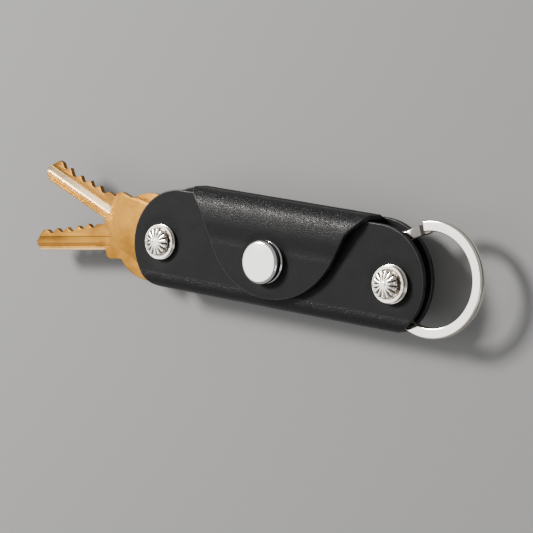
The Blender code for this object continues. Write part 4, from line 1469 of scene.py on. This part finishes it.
narrowing = maths(tree, "MULTIPLY", narrow_in, narrow_out)
narrowing = maths(tree, "MULTIPLY", narrowing, given["Step Narrowing"])
pulled = maths(tree, "MULTIPLY", maths(tree, "MULTIPLY", narrowing, given["Wire Width"]), 0.5)
coil = maths(tree, "SUBTRACT", given["Coil Radius"], pulled)
along_x = maths(tree, "MULTIPLY", maths(tree, "COSINE", angle), coil)
along_y = maths(tree, "MULTIPLY", maths(tree, "SINE", angle), coil)
path_point = vector_of(
    tree,
    maths(tree, "ADD", along_x, given["Centre X"]),
    maths(tree, "ADD", along_y, given["Centre Y"]),
    height,
)
place = tree.nodes.new("GeometryNodeSetPosition")
tree.links.new(run.outputs["Mesh"], place.inputs["Geometry"])
tree.links.new(path_point, place.inputs["Position"])
to_curve = tree.nodes.new("GeometryNodeMeshToCurve")
tree.links.new(place.outputs["Geometry"], to_curve.inputs["Mesh"])
upright = tree.nodes.new("GeometryNodeSetCurveNormal")
upright.mode = "Z_UP"
tree.links.new(to_curve.outputs["Curve"], upright.inputs["Curve"])
section = tree.nodes.new("GeometryNodeCurvePrimitiveQuadrilateral")
tree.links.new(given["Wire Width"], section.inputs["Width"])
tree.links.new(given["Wire Thickness"], section.inputs["Height"])
eased = tree.nodes.new("GeometryNodeFilletCurve")
eased.mode = "POLY"
eased.inputs["Count"].default_value = 4
eased.inputs["Radius"].default_value = WIRE_CORNER
tree.links.new(section.outputs["Curve"], eased.inputs["Curve"])
sweep = tree.nodes.new("GeometryNodeCurveToMesh")
sweep.inputs["Fill Caps"].default_value = True
thin = tree.nodes.new("GeometryNodeSetCurveRadius")
tree.links.new(upright.outputs["Curve"], thin.inputs["Curve"])
tree.links.new(maths(tree, "SUBTRACT", 1.0, narrowing), thin.inputs["Radius"])
tree.links.new(thin.outputs["Curve"], sweep.inputs["Curve"])
tree.links.new(eased.outputs["Curve"], sweep.inputs["Profile Curve"])
heights = maths(tree, "ADD", given["Front Height"], given["Rear Height"])
middle = maths(tree, "MULTIPLY", heights, 0.5)
away = maths(tree, "ABSOLUTE", maths(tree, "SUBTRACT", position_of(tree)[2], middle))
# painted shade: the wire is darkened along the line where its two coils meet
painted_split_shade = ease(tree, away, *SPLIT_SHADE, 0.9, 0.0)
marked = mark_painted_shade(tree, sweep.outputs["Mesh"], painted_split_shade)
finish_tree(tree, marked, given["Finish"], group_out)
ring_tree = tree
print("ring tree:", len(tree.nodes), "nodes")

# %% The split ring
ring_low, ring_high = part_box("split_ring")
ring_centre = (ring_low + ring_high) / 2
RING_OUTER = (ring_high.y - ring_low.y) / 2
WIRE_WIDTH = 3.3 * MM
COIL_GAP = 0.18 * MM
wire_thick = (ring_high.z - ring_low.z - COIL_GAP) / 2
START_ANGLE = math.radians(106.0)
STEP_ANGLE = math.radians(24.0)
CUT_GAP = math.radians(2.5)
PATH_POINTS = 361
blank = mesh_piece("split_ring_wire", [(0, 0, 0)], [], [])
ring = run_tree(
    blank,
    ring_tree,
    {
        "Centre X": ring_centre.x,
        "Centre Y": ring_centre.y,
        "Coil Radius": RING_OUTER - WIRE_WIDTH / 2,
        "Front Height": ring_high.z - wire_thick / 2,
        "Rear Height": ring_low.z + wire_thick / 2,
        "Start Angle": START_ANGLE,
        "Step Angle": STEP_ANGLE,
        "Total Angle": 4 * math.pi - STEP_ANGLE - CUT_GAP,
        "Points": PATH_POINTS,
        "Wire Width": WIRE_WIDTH,
        "Wire Thickness": wire_thick,
        "Step Narrowing": 0.55,
        "Finish": bright_nickel,
    },
)
face_outwards(ring.data, merge=1e-6)
ring.data.set_sharp_from_angle(angle=math.radians(50.0))
fit_to(ring, "ring", "bright_nickel", "split_ring")

# %% [markdown]
# ## Keys
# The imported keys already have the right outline, hole and main groove, so each one is copied,
# merged into clean faces, given its finer milling and then a small bevel all round. The milling is
# laid out in the key's own directions: along the blade, and across it from the spine to the cuts.

# %% Key helpers
KEY_MIRROR = Matrix.Scale(-1.0, 4, (0.0, 1.0, 0.0))
KEY_EDGE = 0.11 * MM


def key_place(pointing):
    """From a key's own (along, across, up) to the frame."""
    post = Matrix.Translation((LEFT_POST.x, 0.0, 0.0))
    return post @ Matrix.Rotation(pointing, 4, "Z") @ KEY_MIRROR


def groove_cutter(name, pointing, along, across, low, high):
    """A bar that mills a groove: along and across are (from, to)."""
    corners = [(x, y, z) for x in along for y in across for z in (low, high)]
    cutter = mesh_piece(name, corners, BOX_SIDES, [])
    cutter.data.transform(key_place(pointing))
    face_outwards(cutter.data)
    return cutter


def cut_key(name, node, pointing, grooves, finish):
    """A copy of a packed key, with milled grooves and eased edges."""
    source = frame["nodes"][node]
    mesh = source.data.copy()
    mesh.name = name
    mesh.materials.clear()
    mesh.materials.append(finish)
    shell = bmesh.new()
    shell.from_mesh(mesh)
    bmesh.ops.remove_doubles(shell, verts=shell.verts, dist=2e-6)
    bmesh.ops.dissolve_limit(
        shell, angle_limit=math.radians(1.0), verts=shell.verts, edges=shell.edges
    )
    shell.to_mesh(mesh)
    shell.free()
    piece = bpy.data.objects.new(name, mesh)
    scene.collection.objects.link(piece)
    mills = [
        groove_cutter(f"{name}_mill_{number}", pointing, *groove)
        for number, groove in enumerate(grooves)
    ]
    piece = cut_with(piece, mills, name)
    eased = piece.modifiers.new("eased_edges", "BEVEL")
    eased.width = KEY_EDGE
    eased.segments = 2
    eased.limit_method = "ANGLE"
    eased.angle_limit = math.radians(28.0)
    eased.use_clamp_overlap = True
    eased.harden_normals = True
    piece.data.shade_smooth()
    piece = settle(piece, name)
    return piece


# %% The two keys
PAST_TIP = 62.0 * MM
OVER = 1.0 * MM


def milled_groove(node, shoulder, before, spine, low, high, deep):
    """One milled groove of a key, from before its shoulder to past its tip.

    low and high are heights above the spine in millimetres, and deep is the depth in them.
    """
    top = radii_of(node)[2]
    across = (spine + low * MM, spine + high * MM)
    return (shoulder - before * MM, PAST_TIP), across, top - deep * MM, top + OVER


upper_blade = ("upper_key", UPPER_SHOULDER)
lower_blade = ("lower_key", LOWER_SHOULDER)
upper_grooves = [
    milled_groove(*upper_blade, 1.0, UPPER_SPINE, 4.9, 9.5, 0.30),
    milled_groove(*upper_blade, 2.4, UPPER_SPINE, 0.55, 0.95, 0.28),
    milled_groove(*upper_blade, 2.4, UPPER_SPINE, 1.45, 1.85, 0.28),
]
lower_grooves = [milled_groove(*lower_blade, 2.0, LOWER_SPINE, 0.9, 1.5, 0.3)]
for node, pointing, grooves, finish in (
    ("upper_key", UPPER_POINTING, upper_grooves, upper_brass),
    ("lower_key", LOWER_POINTING, lower_grooves, lower_brass),
):
    key = cut_key(f"{node}_brass_blank", node, pointing, grooves, finish)
    fit_to(key, node, "key_brass", node)

# %% [markdown]
# ## The imported box
# The visual model is meant to stay the size of the imported one, so the imported box is printed
# last.

# %% Print the imported box
print("packed box", [[round(v / MM, 2) for v in corner] for corner in cad_box])
